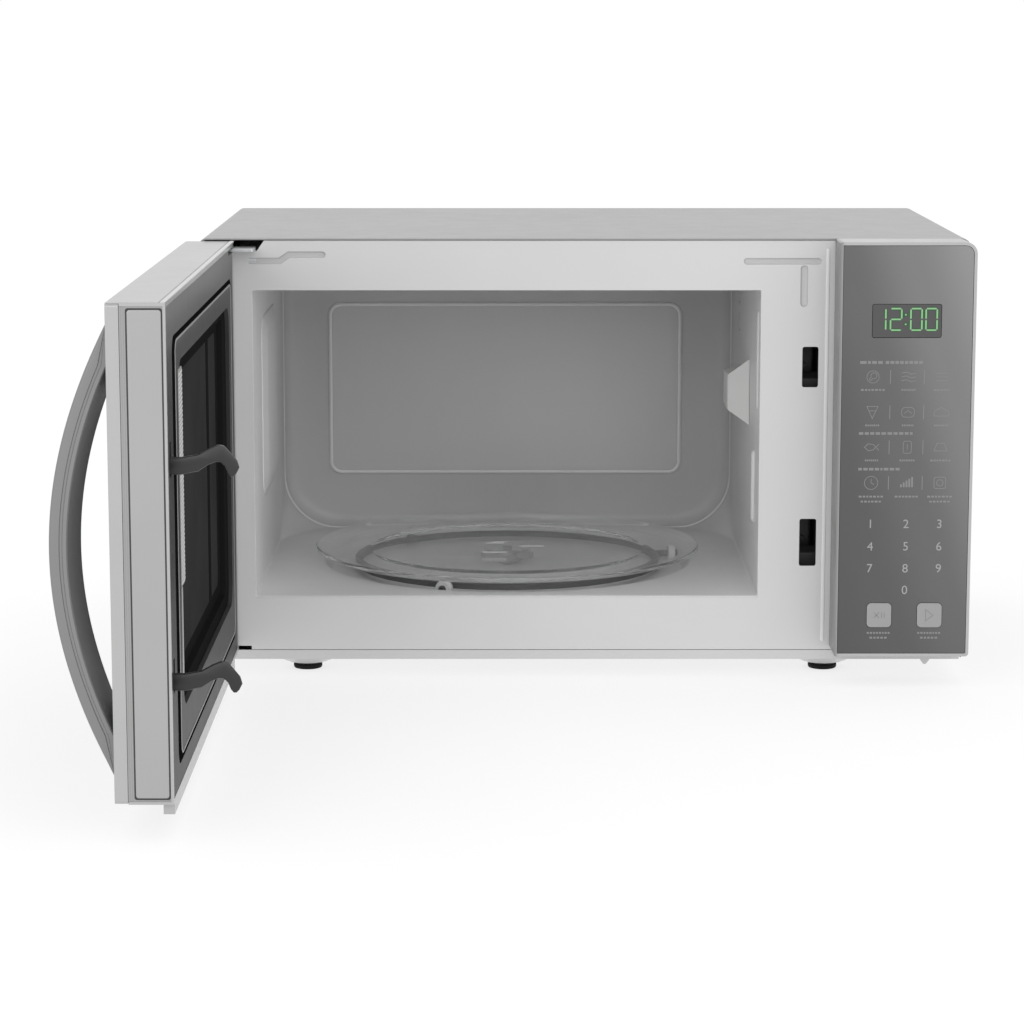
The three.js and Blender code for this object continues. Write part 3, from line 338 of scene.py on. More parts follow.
# ---------------------------------------------------------------- mesh tools
def piece(name, points, faces, body, slot, look=None, smooth=True, stands_for=()):
    mesh = bpy.data.meshes.new(name)
    mesh.from_pydata([tuple(p) for p in points], [], faces)
    mesh.validate()
    return finish_piece(name, mesh, body, slot, look, smooth, stands_for)


def finish_piece(name, mesh, body, slot, look=None, smooth=True, stands_for=()):
    face_out(mesh)
    obj = bpy.data.objects.new(name, mesh)
    bpy.context.scene.collection.objects.link(obj)
    mesh.materials.clear()
    mesh.materials.append(MATERIALS[look or slot])
    mesh.polygons.foreach_set("use_smooth", [smooth] * len(mesh.polygons))
    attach(obj, body)
    if stands_for:
        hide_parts(*stands_for)
    return obj


def face_out(mesh):
    work = bmesh.new()
    work.from_mesh(mesh)
    bmesh.ops.recalc_face_normals(work, faces=work.faces)
    work.to_mesh(mesh)
    work.free()


def loft(rings, capped=True):
    """Rings with the same number of points joined in order; returns points and faces."""
    count = len(rings[0])
    points = [p for ring in rings for p in ring]
    faces = []
    for r in range(len(rings) - 1):
        for i in range(count):
            j = (i + 1) % count
            faces.append((r * count + i, r * count + j, (r + 1) * count + j, (r + 1) * count + i))
    if capped:
        faces.append(tuple(reversed(range(count))))
        faces.append(tuple(range((len(rings) - 1) * count, len(rings) * count)))
    return points, faces


def lathe(profile, sides, place):
    """A profile of (radius, height) turned about an axis; place carries (u, v, height) into the row frame."""
    points, faces, rows = [], [], []
    for radius, height in profile:
        if radius < 1e-6:
            rows.append([len(points)])
            points.append(place(0.0, 0.0, height))
            continue
        rows.append(list(range(len(points), len(points) + sides)))
        for i in range(sides):
            turn = 2 * math.pi * i / sides
            points.append(place(radius * math.cos(turn), radius * math.sin(turn), height))
    for low, high in zip(rows, rows[1:]):
        for i in range(sides):
            j = (i + 1) % sides
            ring = [low[i % len(low)], low[j % len(low)], high[j % len(high)], high[i % len(high)]]
            face = tuple(dict.fromkeys(ring))
            if len(face) > 2:
                faces.append(face)
    return points, faces


def rounded_loop(u0, u1, v0, v1, radii, segments=10):
    """Corner radii run from (u0, v0) anticlockwise."""
    if not isinstance(radii, (tuple, list)):
        radii = (radii,) * 4
    corners = [(u0, v0, 1, 1, 180), (u1, v0, -1, 1, 270), (u1, v1, -1, -1, 0), (u0, v1, 1, -1, 90)]
    loop = []
    for (u, v, su, sv, start), radius in zip(corners, radii):
        for i in range(segments + 1):
            turn = math.radians(start + 90 * i / segments)
            across, up = radius * math.cos(turn), radius * math.sin(turn)
            loop.append((u + su * radius + across, v + sv * radius + up))
    return loop


def inset_loop(u0, u1, v0, v1, inset, radius, segments):
    """A rounded loop whose four sides are moved in by inset."""
    return rounded_loop(u0 + inset, u1 - inset, v0 + inset, v1 - inset, radius, segments)


def facing(loop, y, place=at):
    """A loop of (x, z) points stood up at the depth y."""
    return [place(x, y, z) for x, z in loop]


def sideways(loop, x, place=at):
    """A loop of (y, z) points stood up at x."""
    return [place(x, y, z) for y, z in loop]


def mesh_from(points, faces):
    mesh = bpy.data.meshes.new("scratch")
    mesh.from_pydata([tuple(p) for p in points], [], faces)
    mesh.validate()
    face_out(mesh)
    return mesh


def combined(base, tools):
    """base, a mesh, joined with or cut by closed meshes: tools is a list of (operation, mesh)."""
    holder = bpy.data.objects.new("scratch", base)
    bpy.context.scene.collection.objects.link(holder)
    helpers = []
    for operation, mesh in tools:
        helper = bpy.data.objects.new("scratch_tool", mesh)
        bpy.context.scene.collection.objects.link(helper)
        helpers.append(helper)
        change = holder.modifiers.new("change", "BOOLEAN")
        change.operation = operation
        change.solver = "EXACT"
        change.object = helper
    bpy.context.view_layer.update()
    made = bpy.data.meshes.new_from_object(holder.evaluated_get(bpy.context.evaluated_depsgraph_get()))
    for obj in [holder, *helpers]:
        bpy.data.objects.remove(obj)
    return made


def box_mesh(x, y, z, place=at):
    corners = [(a, b, c) for c in z for b in y for a in x]
    faces = [(0, 2, 3, 1), (4, 5, 7, 6), (0, 1, 5, 4), (2, 6, 7, 3), (0, 4, 6, 2), (1, 3, 7, 5)]
    return [place(*c) for c in corners], faces


def merged(parts):
    points, faces = [], []
    for more_points, more_faces in parts:
        faces += [tuple(len(points) + i for i in face) for face in more_faces]
        points += more_points
    return points, faces


def soften(obj, width, segments=2, angle=30.0):
    """Rounds the sharp edges of a faceted piece and evens its normals."""
    weld = obj.modifiers.new("weld", "WELD")
    weld.merge_threshold = 0.00001
    flat = obj.modifiers.new("flat_faces", "DECIMATE")
    flat.decimate_type = "DISSOLVE"
    flat.angle_limit = math.radians(0.6)
    edge = obj.modifiers.new("soft_edges", "BEVEL")
    edge.width = width * MM
    edge.segments = segments
    edge.limit_method = "ANGLE"
    edge.angle_limit = math.radians(angle)
    edge.use_clamp_overlap = True
    even = obj.modifiers.new("even_normals", "WEIGHTED_NORMAL")
    even.weight = 80
    obj.data.polygons.foreach_set("use_smooth", [True] * len(obj.data.polygons))


# ---------------------------------------------------------------- CAD nodes that keep their own shape
def dress(node, look, width=0.0):
    obj = frame["nodes"][node]
    obj.data.materials.clear()
    obj.data.materials.append(MATERIALS[look])
    if width:
        soften(obj, width)


def dress_nodes():
    slots = {part["node"]: part["material_slot"] for part in frame["record"]["subparts"]}
    looks = {
        # Looks with painted shade: the panel frame's side wall and the drive coupler under the tray.
        "control_panel_frame": "frame_side", "roller_ring": "ring_grey", "drive_coupler": "coupler_grey",
        "door_inner_window": "pane_dark",
    }
    widths = {
        "outer_casing": 0.35, "base_plate": 0.3, "rear_panel": 0.2, "front_plate": 0.45,
        "upper_hinge_bracket": 0.3, "lower_hinge_bracket": 0.3,
        "control_panel_frame": 0.8, "control_panel_face": 0.3, "display_window": 0.2,
        "stop_key": 0.35, "start_key": 0.35, "door_outer_frame": 0.7,
        "door_window": 0.4, "door_inner_window": 0.3,
        "roller_ring": 0.3, "cord_gland": 0.4, "drive_coupler": 0.5, "latch_board": 0.3,
    }
    for node in frame["nodes"]:
        dress(node, looks.get(node, slots[node]), widths.get(node, 0.0))


# ---------------------------------------------------------------- cavity
def cavity_ring(y, low, high, grow, squeeze=0.0):
    """The room's section at one depth: low and high are its lower and upper corner radii."""
    side = grow - squeeze
    loop = rounded_loop(
        LEFT - side, RIGHT + side, FLOOR - side, ROOF + side,
        (low + grow, low + grow, high + grow, high + grow), 12,
    )
    return facing(loop, y)


def cavity_stations():
    depths = [1.9, 60, 120, 180, 230, 250, 264, 276, 286, 292]
    rows = []
    for y in depths:
        ease = max(0.0, (y - 230) / 62)
        rows.append((y, 1.5 + 40 * ease ** 1.6, 1.5 + 12 * ease ** 1.6))
    return rows


def cavity_shell():
    rows = cavity_stations()
    outer = [cavity_ring(y, low, high, SKIN) for y, low, high in rows]
    outer.append(cavity_ring(BACK + SKIN, 42, 14, SKIN))
    inner = [cavity_ring(y, low, high, 0) for y, low, high in rows]
    fillet = 9.0
    for turn in steps(0, 90, 7)[1:]:
        share = math.radians(turn)
        depth = BACK - fillet + fillet * math.sin(share)
        inner.append(cavity_ring(depth, 42, 14, 0, fillet * (1 - math.cos(share))))
    back_panel = [(0, 302.0, 11), (1.2, 301.7, 10.5), (3.4, 300.2, 9), (4.6, 299.9, 8)]
    for inset, depth, radius in back_panel:
        loop = rounded_loop(-196.7 + inset, 85.4 - inset, 79.2 + inset, 218.2 - inset, radius, 12)
        inner.append(facing(loop, depth))
    lip = [(2.8, 12.0), (1.9, 12.0)]
    flange = [
        facing(rounded_loop(
            LEFT - grow, RIGHT + grow, FLOOR - grow + 2, ROOF + grow, 2, 12), y)
        for y, grow in lip
    ]
    mouth = [cavity_ring(2.8, 1.5, 1.5, SKIN)]
    return mesh_from(*loft(list(reversed(outer[1:])) + mouth + flange + inner))


def well_profile(grow):
    low = FLOOR - WELL_DEPTH - grow
    bend = [(129 + grow, low), (131.5 + grow, low + 0.5), (134 + grow, low + 2.4)]
    if grow:
        side = WELL_RADIUS + grow
        return [(0, low), *bend, (side, FLOOR - 0.6), (side, FLOOR - 0.2), (0, FLOOR - 0.2)]
    lip = [(135.6, FLOOR - 2.2), (136.8, FLOOR - 0.7), (138.6, FLOOR), (138.9, FLOOR + 0.4), (0, FLOOR + 0.4)]
    return [(0, low), *bend, *lip]


def around_table(u, v, z):
    return at(TABLE_X + u, TABLE_Y + v, z)


def air_slots():
    slots = []
    for low, high in ((205, 218.4), (226, 234.2)):
        outline = rounded_loop(199, 211, low, high, 2, 4)
        slots.append(loft([sideways(outline, x) for x in (RIGHT - 3, RIGHT + 3)]))
    return mesh_from(*merged(slots))


def make_cavity():
    shaft = [(0, 25), (8, 25), (8, 35), (0, 35)]
    port = box_mesh((RIGHT - 2, RIGHT + 3), (122, 186), (151, 170))
    tools = [
        ("UNION", mesh_from(*lathe(well_profile(SKIN), 96, around_table))),
        ("DIFFERENCE", mesh_from(*lathe(well_profile(0), 96, around_table))),
        ("DIFFERENCE", mesh_from(*lathe(shaft, 24, around_table))),
        ("DIFFERENCE", mesh_from(*port)),
        ("DIFFERENCE", air_slots()),
    ]
    made = combined(cavity_shell(), tools)
    # The room's enamel carries painted light near the mouth and painted shade towards the back wall.
    shell = finish_piece("cavity_shell", made, "cabinet", "white_enamel", "cavity_enamel",
                         stands_for=("oven_cavity",))
    shade_by_angle(shell, 24)
    paint_cavity(shell)
    # A dark sheet behind the air slots: painted shade seen through them.
    outline = rounded_loop(197.5, 212.5, 203, 236, 2, 4)
    screen = [sideways(outline, x) for x in (RIGHT + 1.2, RIGHT + 1.6)]
    piece("air_slot_shade_sheet", *loft(screen), "cabinet", "white_enamel", "slot_dark", smooth=False)
    back_bead()
    corner_bead()
    pressed_panel()
    right_bead()
    make_mica_cover()


BACK_PANEL_Y = 299.9


def paint_cavity(shell):
    """Painted shade on the well, which is darker than the walls, and painted light on the panel in the back
    wall, which is lighter than the band round it.
    """
    shell.data.materials.append(MATERIALS["well_enamel"])
    shell.data.materials.append(MATERIALS["back_enamel"])
    for face in shell.data.polygons:
        x, y, z = (face.center - ORIGIN) / MM
        if math.hypot(x - TABLE_X, y - TABLE_Y) < WELL_RADIUS + 1 and z < FLOOR - 0.2:
            face.material_index = 1
        elif abs(y - BACK_PANEL_Y) < 0.15 and abs(face.normal.y) > 0.9:
            face.material_index = 2


def corner_bead():
    """A thin raised line round the room, just before its walls turn into the back wall, in a lighter enamel
    as a painted highlight.
    """
    rings = []
    for depth, rise in ((290.9, -0.2), (291.3, 0.5), (292.0, 0.8), (292.7, 0.5), (293.1, -0.2)):
        rings.append(cavity_ring(depth, 42, 14, 0, rise))
    bead = piece("back_corner_highlight_bead", *loft(rings + rings[:1], capped=False), "cabinet", "white_enamel",
                 "bead_enamel")
    shade_by_angle(bead, 60)


def shade_by_angle(obj, angle):
    work = bmesh.new()
    work.from_mesh(obj.data)
    for edge in work.edges:
        wide = len(edge.link_faces) == 2 and edge.calc_face_angle(0.0) > math.radians(angle)
        edge.smooth = not wide
    work.to_mesh(obj.data)
    work.free()


def back_bead():
    """The rounded rim of the panel pressed out of the back wall, in a lighter enamel as a painted highlight.
    """
    rings = []
    for inset, depth in [(0.6, 302.2), (0.9, 301.0), (1.8, 300.1), (2.8, 299.8), (3.8, 300.1), (4.6, 300.8),
                         (4.8, 302.2)]:
        loop = inset_loop(-196.7, 85.4, 79.2, 218.2, inset, 11 - inset, 12)
        rings.append(facing(loop, depth))
    piece("back_panel_rim", *loft(rings, capped=False), "cabinet", "white_enamel", "bead_enamel")


def pressed_panel():
    """The panel pressed into the cavity's left wall."""
    steps_in = [(76, 201, 95, 228, 16, -0.1), (80, 197, 98, 226, 15, 0.5), (92, 185, 108, 220, 12, 2.9),
                (96, 181, 111, 218, 11, 3.3)]
    rings = []
    for y0, y1, z0, z1, radius, rise in steps_in:
        rings.append(sideways(rounded_loop(y0, y1, z0, z1, radius, 8), LEFT + rise))
    rings.append([at(LEFT + 3.3, 138.5 + (p[0] - 138.5) * 0.9, 164.5 + (p[1] - 164.5) * 0.9)
                  for p in rounded_loop(96, 181, 111, 218, 11, 8)])
    # Painted light and painted shade from the cavity enamel's gradient along the depth.
    piece("left_wall_panel", *loft(rings), "cabinet", "white_enamel", "cavity_enamel")


def right_bead():
    """The upright beads pressed into the right wall near the mouth, in a lighter enamel as a painted
    highlight.
    """
    parts = []
    for y0, y1, z0, z1, height in ((40, 54, 84, 137, 1.0), (18, 26, 168, 238, 0.45)):
        rings = []
        for inset, rise in [(0, -0.1), (1.2, 1.4), (2.4, 2.2), (3.4, 2.4)]:
            loop = inset_loop(y0, y1, z0, z1, inset, max(3.9 - inset, 0.4), 6)
            rings.append(sideways(loop, RIGHT - rise * height))
        parts.append(loft(rings))
    piece("right_wall_beads", *merged(parts), "cabinet", "white_enamel", "bead_enamel")


def make_mica_cover():
    """A bent sheet over the port: a sloping front, a flat face and a long slope back to the wall."""
    wall, face = RIGHT - 0.3, RIGHT - 15.4
    stations = (
        (wall - 0.5, 94.2, 148, 195.5), (wall - 1.5, 95.2, 148.6, 194.7),
        (face + 0.8, 109.4, 156.6, 183.1), (face + 0.1, 111, 157.2, 182.3),
        (face + 0.1, 151, 157.2, 181.5), (face + 1, 153, 157.3, 181.3),
        (wall - 0.5, 200.5, 158, 180),
    )
    rings = []
    for x, y, low, high in stations:
        rings.append([at(wall, y, low), at(x, y, low), at(x, y, high), at(wall, y, high)])
    made = piece("mica_cover", *loft(rings), "cabinet", "mica", stands_for=("waveguide_cover",))
    shade_by_angle(made, 12)


# ---------------------------------------------------------------- front plate
PLATE_FRONT = 0.6
CHANNELS = (
    (((-232, 275.2), (-211.4, 275.2), (-205.1, 279.5), (-181.9, 279.5)), 4.6),
    (((113, 274.9), (162.6, 274.9)), 4.6),
    (((153, 269.6), (153, 245.7)), 5.2),
)


def band(path, width, ends=8):
    """The outline of a strip of even width along a path, with round ends, as (x, z) points."""
    sides = ([], [])
    turns = [math.atan2(b[1] - a[1], b[0] - a[0]) for a, b in zip(path, path[1:])]
    for i, (u, v) in enumerate(path):
        into, out = turns[max(i - 1, 0)], turns[min(i, len(turns) - 1)]
        half = (into + out) / 2
        reach = width / 2 / math.cos((out - into) / 2)
        sides[0].append((u + reach * math.sin(half), v - reach * math.cos(half)))
        sides[1].append((u - reach * math.sin(half), v + reach * math.cos(half)))
    caps = []
    for (u, v), turn in ((path[-1], turns[-1] - math.pi / 2), (path[0], turns[0] + math.pi / 2)):
        caps.append([(u + width / 2 * math.cos(turn + math.pi * k / ends),
                      v + width / 2 * math.sin(turn + math.pi * k / ends)) for k in range(1, ends)])
    return sides[0] + caps[0] + sides[1][::-1] + caps[1]


def node_copy(node):
    """A node's own mesh, with its vertices joined so that it can be cut."""
    mesh = frame["nodes"][node].data.copy()
    work = bmesh.new()
    work.from_mesh(mesh)
    bmesh.ops.remove_doubles(work, verts=work.verts, dist=0.000005)
    work.to_mesh(mesh)
    work.free()
    return mesh


def make_plate():
    proud = mesh_from(*box_mesh((-300, 300), (-3, PLATE_FRONT), (-10, 320)))
    mouth = mesh_from(*box_mesh((LEFT - 0.1, RIGHT), (-3, 6), (FLOOR - 0.8, ROOF - 0.1)))
    tools = [("DIFFERENCE", proud), ("DIFFERENCE", mouth)]
    for path, width in CHANNELS:
        outline = band(path, width)
        rings = [facing(outline, y) for y in (-2, 4)]
        tools.append(("DIFFERENCE", mesh_from(*loft(rings))))
    made = combined(node_copy("front_plate"), tools)
    plate = finish_piece("mouth_plate", made, "cabinet", "white_enamel", "plate_enamel",
                         stands_for=("front_plate",))
    soften(plate, 0.3)
    dishes = []
    for path, width in CHANNELS:
        rings = []
        for y, shrink in (
            (0.75, 0.1), (1.5, 0.7), (2.1, 1.8), (2.2, 2.6),
            (2.7, 2.4), (2.6, 0.4), (1.7, -0.5), (0.75, -0.3),
        ):
            rings.append(facing(band(path, width - shrink), y))
        dishes.append(loft(rings + rings[:1], capped=False))
        centre = band(path, width - 2.5)
        dishes.append(loft([facing(centre, y) for y in (2.2, 2.6)]))
    # The channels are painted darker than the plate: painted shade in the recesses.
    trays = piece("plate_channels", *merged(dishes), "cabinet", "white_enamel", "channel_enamel")
    shade_by_angle(trays, 50)


def make_plate_ridge():
    """The upright ridge pressed into the plate beside the control panel, in a lighter enamel as a painted
    highlight.
    """
    rings = []
    for y, inset in ((0.8, 0.0), (0.45, 0.1), (0.2, 0.45), (0.12, 0.9)):
        loop = inset_loop(167.9, 170.7, 6, 284, inset, 1.3 - inset, 5)
        rings.append(facing(loop, y))
    piece("plate_ridge", *loft(rings), "cabinet", "white_enamel", "bead_enamel")


# ---------------------------------------------------------------- turntable
def make_tray():
    low, rim = TRAY_LOW, TRAY_RIM
    profile = [
        (0, low), (99, low), (101, low + 0.4), (103.5, low + 0.4), (105.5, low), (131, low), (135, low + 0.6),
        (140, low + 2.6), (TRAY_RADIUS - 0.7, rim - 1.9), (TRAY_RADIUS - 0.1, rim - 1.2),
        (TRAY_RADIUS, rim - 0.6), (TRAY_RADIUS - 0.4, rim - 0.1), (TRAY_RADIUS - 1.2, rim),
        (TRAY_RADIUS - 2.6, rim - 0.2), (139.5, rim - 1.4), (134.5, low + 4.0), (130.5, low + 3.2),
        (106.5, low + 3.2), (104.5, low + 3.9), (101, low + 3.9), (99, low + 3.2), (0, low + 3.2),
    ]
    tray = mesh_from(*lathe(profile, 144, around_table))
    lugs = []
    for turn in (30, 150, 270):
        c, s = math.cos(math.radians(turn)), math.sin(math.radians(turn))
        place = lambda x, y, z, c=c, s=s: around_table(x * c - y * s, x * s + y * c, z)
        lugs.append(box_mesh((13.5, 19), (-2.5, 2.5), (low - 2.6, low + 0.3), place))
    made = combined(tray, [("UNION", mesh_from(*merged(lugs)))])
    obj = finish_piece("tray_dish", made, "glass_tray", "tray_glass", stands_for=("glass_tray",))
    shade_by_angle(obj, 40)
    tray_painted_glints(low + 3.1)


def tray_painted_glints(floor):
    """Four short ridges round the middle of the tray, painted bright as painted glints."""
    marks = []
    for u0, u1, v in ((-19, 0, -22), (-17, -2, 17), (-12, 0, 22), (9.5, 27.5, 4)):
        rings = []
        for lift, inset in ((0.0, 0.0), (0.35, 0.2), (0.5, 0.5)):
            loop = rounded_loop(u0 + inset, u1 - inset, v - 0.9 + inset, v + 0.9 - inset, 0.35, 3)
            rings.append([around_table(a, b, floor + lift) for a, b in loop])
        marks.append(loft(rings))
    piece("tray_painted_glints", *merged(marks), "glass_tray", "tray_glass", "mark_bright")


def on_axle(turn):
    c, s = math.cos(math.radians(turn)), math.sin(math.radians(turn))

    def place(u, v, out):
        return at(TABLE_X + out * c - u * s, TABLE_Y + out * s + u * c, ROLLER_Z + v)

    return place


def make_rollers():
    half = 2.5
    tread = [
        (1.8, -half), (3.4, -half), (3.7, -half + 0.5), (4.6, -half + 0.5), (4.9, -half), (5.5, -half),
        (5.9, -half + 0.3), (6.0, -half + 0.9), (6.0, half - 0.9), (5.9, half - 0.3), (5.5, half),
        (4.9, half), (4.6, half - 0.5), (3.7, half - 0.5), (3.4, half), (1.8, half), (1.8, -half),
    ]
    for i, turn in enumerate(ROLLER_ANGLES, 1):
        profile = [(radius, ROLLER_CIRCLE + side) for radius, side in tread]
        wheel = piece(f"roller_wheel_{i}", *lathe(profile, 40, on_axle(turn)), f"roller_{i}",
                      "white_plastic", stands_for=(f"roller_{i}",))
        shade_by_angle(wheel, 35)
        cap = [(0, 131.15), (1.5, 131.1), (2.3, 130.8), (2.68, 130.2), (2.68, 129.2), (0, 129.2)]
        piece(f"axle_cap_{i}", *lathe(cap, 24, on_axle(turn)), "roller_ring", "black_plastic")


# ---------------------------------------------------------------- feet
def make_feet():
    drop, radius = -FOOT_DROP, 10.25
    profile = [
        (0, drop + 0.5), (4.5, drop + 0.5), (5.0, drop), (9.1, drop), (9.7, drop + 0.2), (10.1, drop + 0.8),
        (radius, drop + 1.5), (radius, -17.1), (9.85, -16.9), (9.85, -16.5), (radius, -16.3), (radius, -15.3),
        (10.05, -14.9), (9.6, -14.7), (2.7, -14.7), (2.7, -9.8), (0, -9.7),
    ]
    for side, x in (("left", -197), ("right", 173)):
        for end, y in (("front", 35), ("rear", 280)):
            place = lambda u, v, h, x=x, y=y: at(x + u, y + v, h)
            foot = piece(f"rubber_foot_{end}_{side}", *lathe(profile, 56, place), "cabinet", "foot_rubber",
                         stands_for=(f"foot_{end}_{side}",))
            shade_by_angle(foot, 35)


# ---------------------------------------------------------------- handle
HANDLE_LOW, HANDLE_HIGH, HANDLE_BOW = 16.5, 277.6, 35.1
HANDLE_NEAR, HANDLE_FAR = 165.0, 139.0
HANDLE_BASE = -34.5
HANDLE_NEAR_THICK = 10.6
HANDLE_FAR_THICK = 15.0
CROWN_POINTS, CORNER_POINTS = 9, 5  # across the outer face, and round each of its corners


def handle_section(share):
    """One ring of the bowed handle: crowned outside, a groove along its near side, sloping inner face."""
    turn = (share - 0.5) * 2
    half = (HANDLE_HIGH - HANDLE_LOW) / 2
    height = (HANDLE_LOW + HANDLE_HIGH) / 2 + turn * half
    rise = math.cos(turn * math.pi / 2) * 0.12 + (1 - turn * turn) * 0.88
    out = min(HANDLE_BASE - HANDLE_BOW * rise, HANDLE_BASE - 0.4)
    steep = math.hypot(1, 2 * HANDLE_BOW * turn / half)
    near_back = min(out + HANDLE_NEAR_THICK * steep, HANDLE_BASE)
    far_back = min(out + HANDLE_FAR_THICK * steep, HANDLE_BASE)
    depth = near_back - out
    soft = min(1.6, depth * 0.3)
    notch = min(0.55, depth * 0.1)
    ring = []
    crown = (CROWN_POINTS - 1) // 2
    for i in range(CROWN_POINTS):
        x = HANDLE_NEAR - soft - (HANDLE_NEAR - HANDLE_FAR - 2 * soft) * i / (2 * crown)
        ring.append((x, out - 0.6 * (1 - ((i - crown) / crown) ** 2)))
    for i in range(1, CORNER_POINTS + 1):
        a = math.radians(90 * i / (CORNER_POINTS + 1))
        ring.append((HANDLE_FAR + soft - soft * math.sin(a), out + soft - soft * math.cos(a)))
    ring += [(HANDLE_FAR, out + soft), (HANDLE_FAR, far_back - 0.5), (HANDLE_FAR + 0.5, far_back)]
    ring += [(HANDLE_NEAR - 0.7, near_back), (HANDLE_NEAR, near_back - min(0.7, soft))]
    for share_in, step_in in ((0.74, 0), (0.7, 1), (0.58, 1), (0.54, 0)):
        ring.append((HANDLE_NEAR - notch * step_in, out + depth * share_in))
    ring.append((HANDLE_NEAR, out + soft))
    for i in range(1, CORNER_POINTS + 1):
        a = math.radians(90 * i / (CORNER_POINTS + 1))
        ring.append((HANDLE_NEAR - soft + soft * math.cos(a), out + soft - soft * math.sin(a)))
    return [on_door(x, y, height) for x, y in ring]


def make_handle():
    shares = [0.5 - math.cos(t * math.pi) / 2 for t in steps(0, 1, 97)]
    rings = [handle_section(s) for s in shares]
    bow = piece("handle_bow", *loft(rings), "door", "handle_grey", stands_for=("door_handle",))
    bow.data.materials.append(MATERIALS["handle_inner"])
    count = len(rings[0])
    inner = CROWN_POINTS + CORNER_POINTS + 2  # the face that slopes back to the door
    for i in range(len(rings) - 1):
        bow.data.polygons[i * count + inner].material_index = 1
    shade_by_angle(bow, 30)


# ---------------------------------------------------------------- door details
def window_loop(inset, depth, radius):
    return facing(inset_loop(*WINDOW, inset, radius, 10), depth, on_door)


def make_window_frame():
    """The stepped gasket inside the window recess, running round the inner pane."""
    rings = [
        window_loop(0.2, -9.2, 13.8), window_loop(0.2, -3.6, 13.8), window_loop(1.2, -3.2, 12.8),
        window_loop(6.6, -4.4, 9.5), window_loop(7.6, -4.9, 9.0), window_loop(7.9, -8.6, 8.8),
        window_loop(15.5, -9.0, 7.0), window_loop(15.8, -9.2, 6.8),
    ]
    made = piece("window_gasket", *loft(rings, capped=False), "door", "smoked_glass", "gasket_black")
    shade_by_angle(made, 35)


def make_screen_strip():
    """The ribbed strip at the recess's free-edge side, the plain one below it, and the pane's bar."""
    ribs = []
    for row in range(48):
        low = 118.0 + row * 2.6
        corners = [(110, low), (92, low + 0.9), (92, low + 2.5), (110, low + 1.6)]
        ribs.append(loft([facing(corners, y, on_door) for y in (-1.5, -0.3)]))
    piece("screen_ribs", *merged(ribs), "door", "door_steel", "screen_bright", smooth=False)
    backs = [rounded_loop(91, 111, 117, 244.5, 1, 3), rounded_loop(104, 111, 60, 116.6, 1, 3)]
    plates = [loft([facing(loop, y, on_door) for y in (-1.7, -0.6)]) for loop in backs]
    piece("screen_strip", *merged(plates), "door", "door_steel", "strip_grey", smooth=False)
    bars = rounded_loop(-154, -140, 52, 241, 1, 3)
    piece("pane_bar", *loft([facing(bars, y, on_door) for y in (-9.6, -9.0)]), "door",
          "smoked_glass", "gasket_black", smooth=False)


def cover_rings(u0, u1, v0, v1, radius, sections):
    """Rings on the door's cover, each moved in and set at a depth of its own."""
    rings = []
    for inset, depth in sections:
        rings.append(facing(inset_loop(u0, u1, v0, v1, inset, radius - inset, 8), depth, on_door))
    return rings


def make_cover_shade_strip():
    """A black strip round the cover's middle field as painted shade along its edge, and a light rim inside it
    as a painted highlight.
    """
    seal = cover_rings(-236, 141, 17, 266.6, 10, ((0.0, -1.4), (0.0, -0.66), (0.3, -0.6)))
    seal += cover_rings(-234.4, 126.5, 19.6, 263.4, 8.6, ((-0.3, -0.6), (0.0, -0.66), (0.0, -1.4)))
    closed = loft(seal + seal[:1], capped=False)
    piece("cover_seal", *closed, "door", "smoked_glass", "seal_black", smooth=False)
    sections = ((0.0, -1.0), (0.1, -0.45), (0.4, -0.3), (0.8, -0.3), (1.1, -0.45), (1.2, -1.0))
    rim = cover_rings(-234, 126, 20, 263, 8.4, sections)
    made = piece("cover_rim", *loft(rim + rim[:1], capped=False), "door", "smoked_glass", "rim_bright")
    shade_by_angle(made, 50)


def edge_ring(x, y0, y1, z0, z1, radius):
    return sideways(rounded_loop(y0, y1, z0, z1, radius, 4), x, on_door)


def make_edge_panel():
    """The door's inner frame with a panel set into its free edge, a step and a groove round it painted dark
    as painted shade.
    """
    pocket = mesh_from(*box_mesh((172.3, 173.5), (-26.9, -2.0), (4.4, 287.2), on_door))
    made = combined(node_copy("door_inner_frame"), [("DIFFERENCE", pocket)])
    inner = finish_piece("edge_frame", made, "door", "silver_plastic", stands_for=("door_inner_frame",))
    soften(inner, 0.25)
    step = [edge_ring(x, -26.4, -2.0, 4.4, 287.2, 0.6) for x in (172.0, 172.5)]
    ridge = [edge_ring(x, y0, y1, 4.6, 287.0, 0.3) for x, y0, y1 in
             ((172.4, -25.3, -23.9), (172.66, -25.1, -24.1))]
    stepped = merged([loft(step), loft(ridge)])
    piece("edge_step", *stepped, "door", "silver_plastic", "edge_step", smooth=False)
    # The groove is painted dark: painted shade.
    groove = [edge_ring(x, -22.9, -2.2, 5.5, 286.1, 1.4) for x in (172.3, 172.56)]
    piece("edge_groove", *loft(groove), "door", "silver_plastic", "groove_grey", smooth=False)
    rings = []
    for x, inset in ((172.3, 0.1), (172.7, 0.1), (172.84, 0.25), (172.88, 0.5), (172.88, 1.4)):
        rings.append(edge_ring(x, -22.1 + inset, -2.9 - inset, 6.4 + inset, 285.2 - inset, 1.6))
    piece("edge_panel", *loft(rings), "door", "silver_plastic", "door_paint")


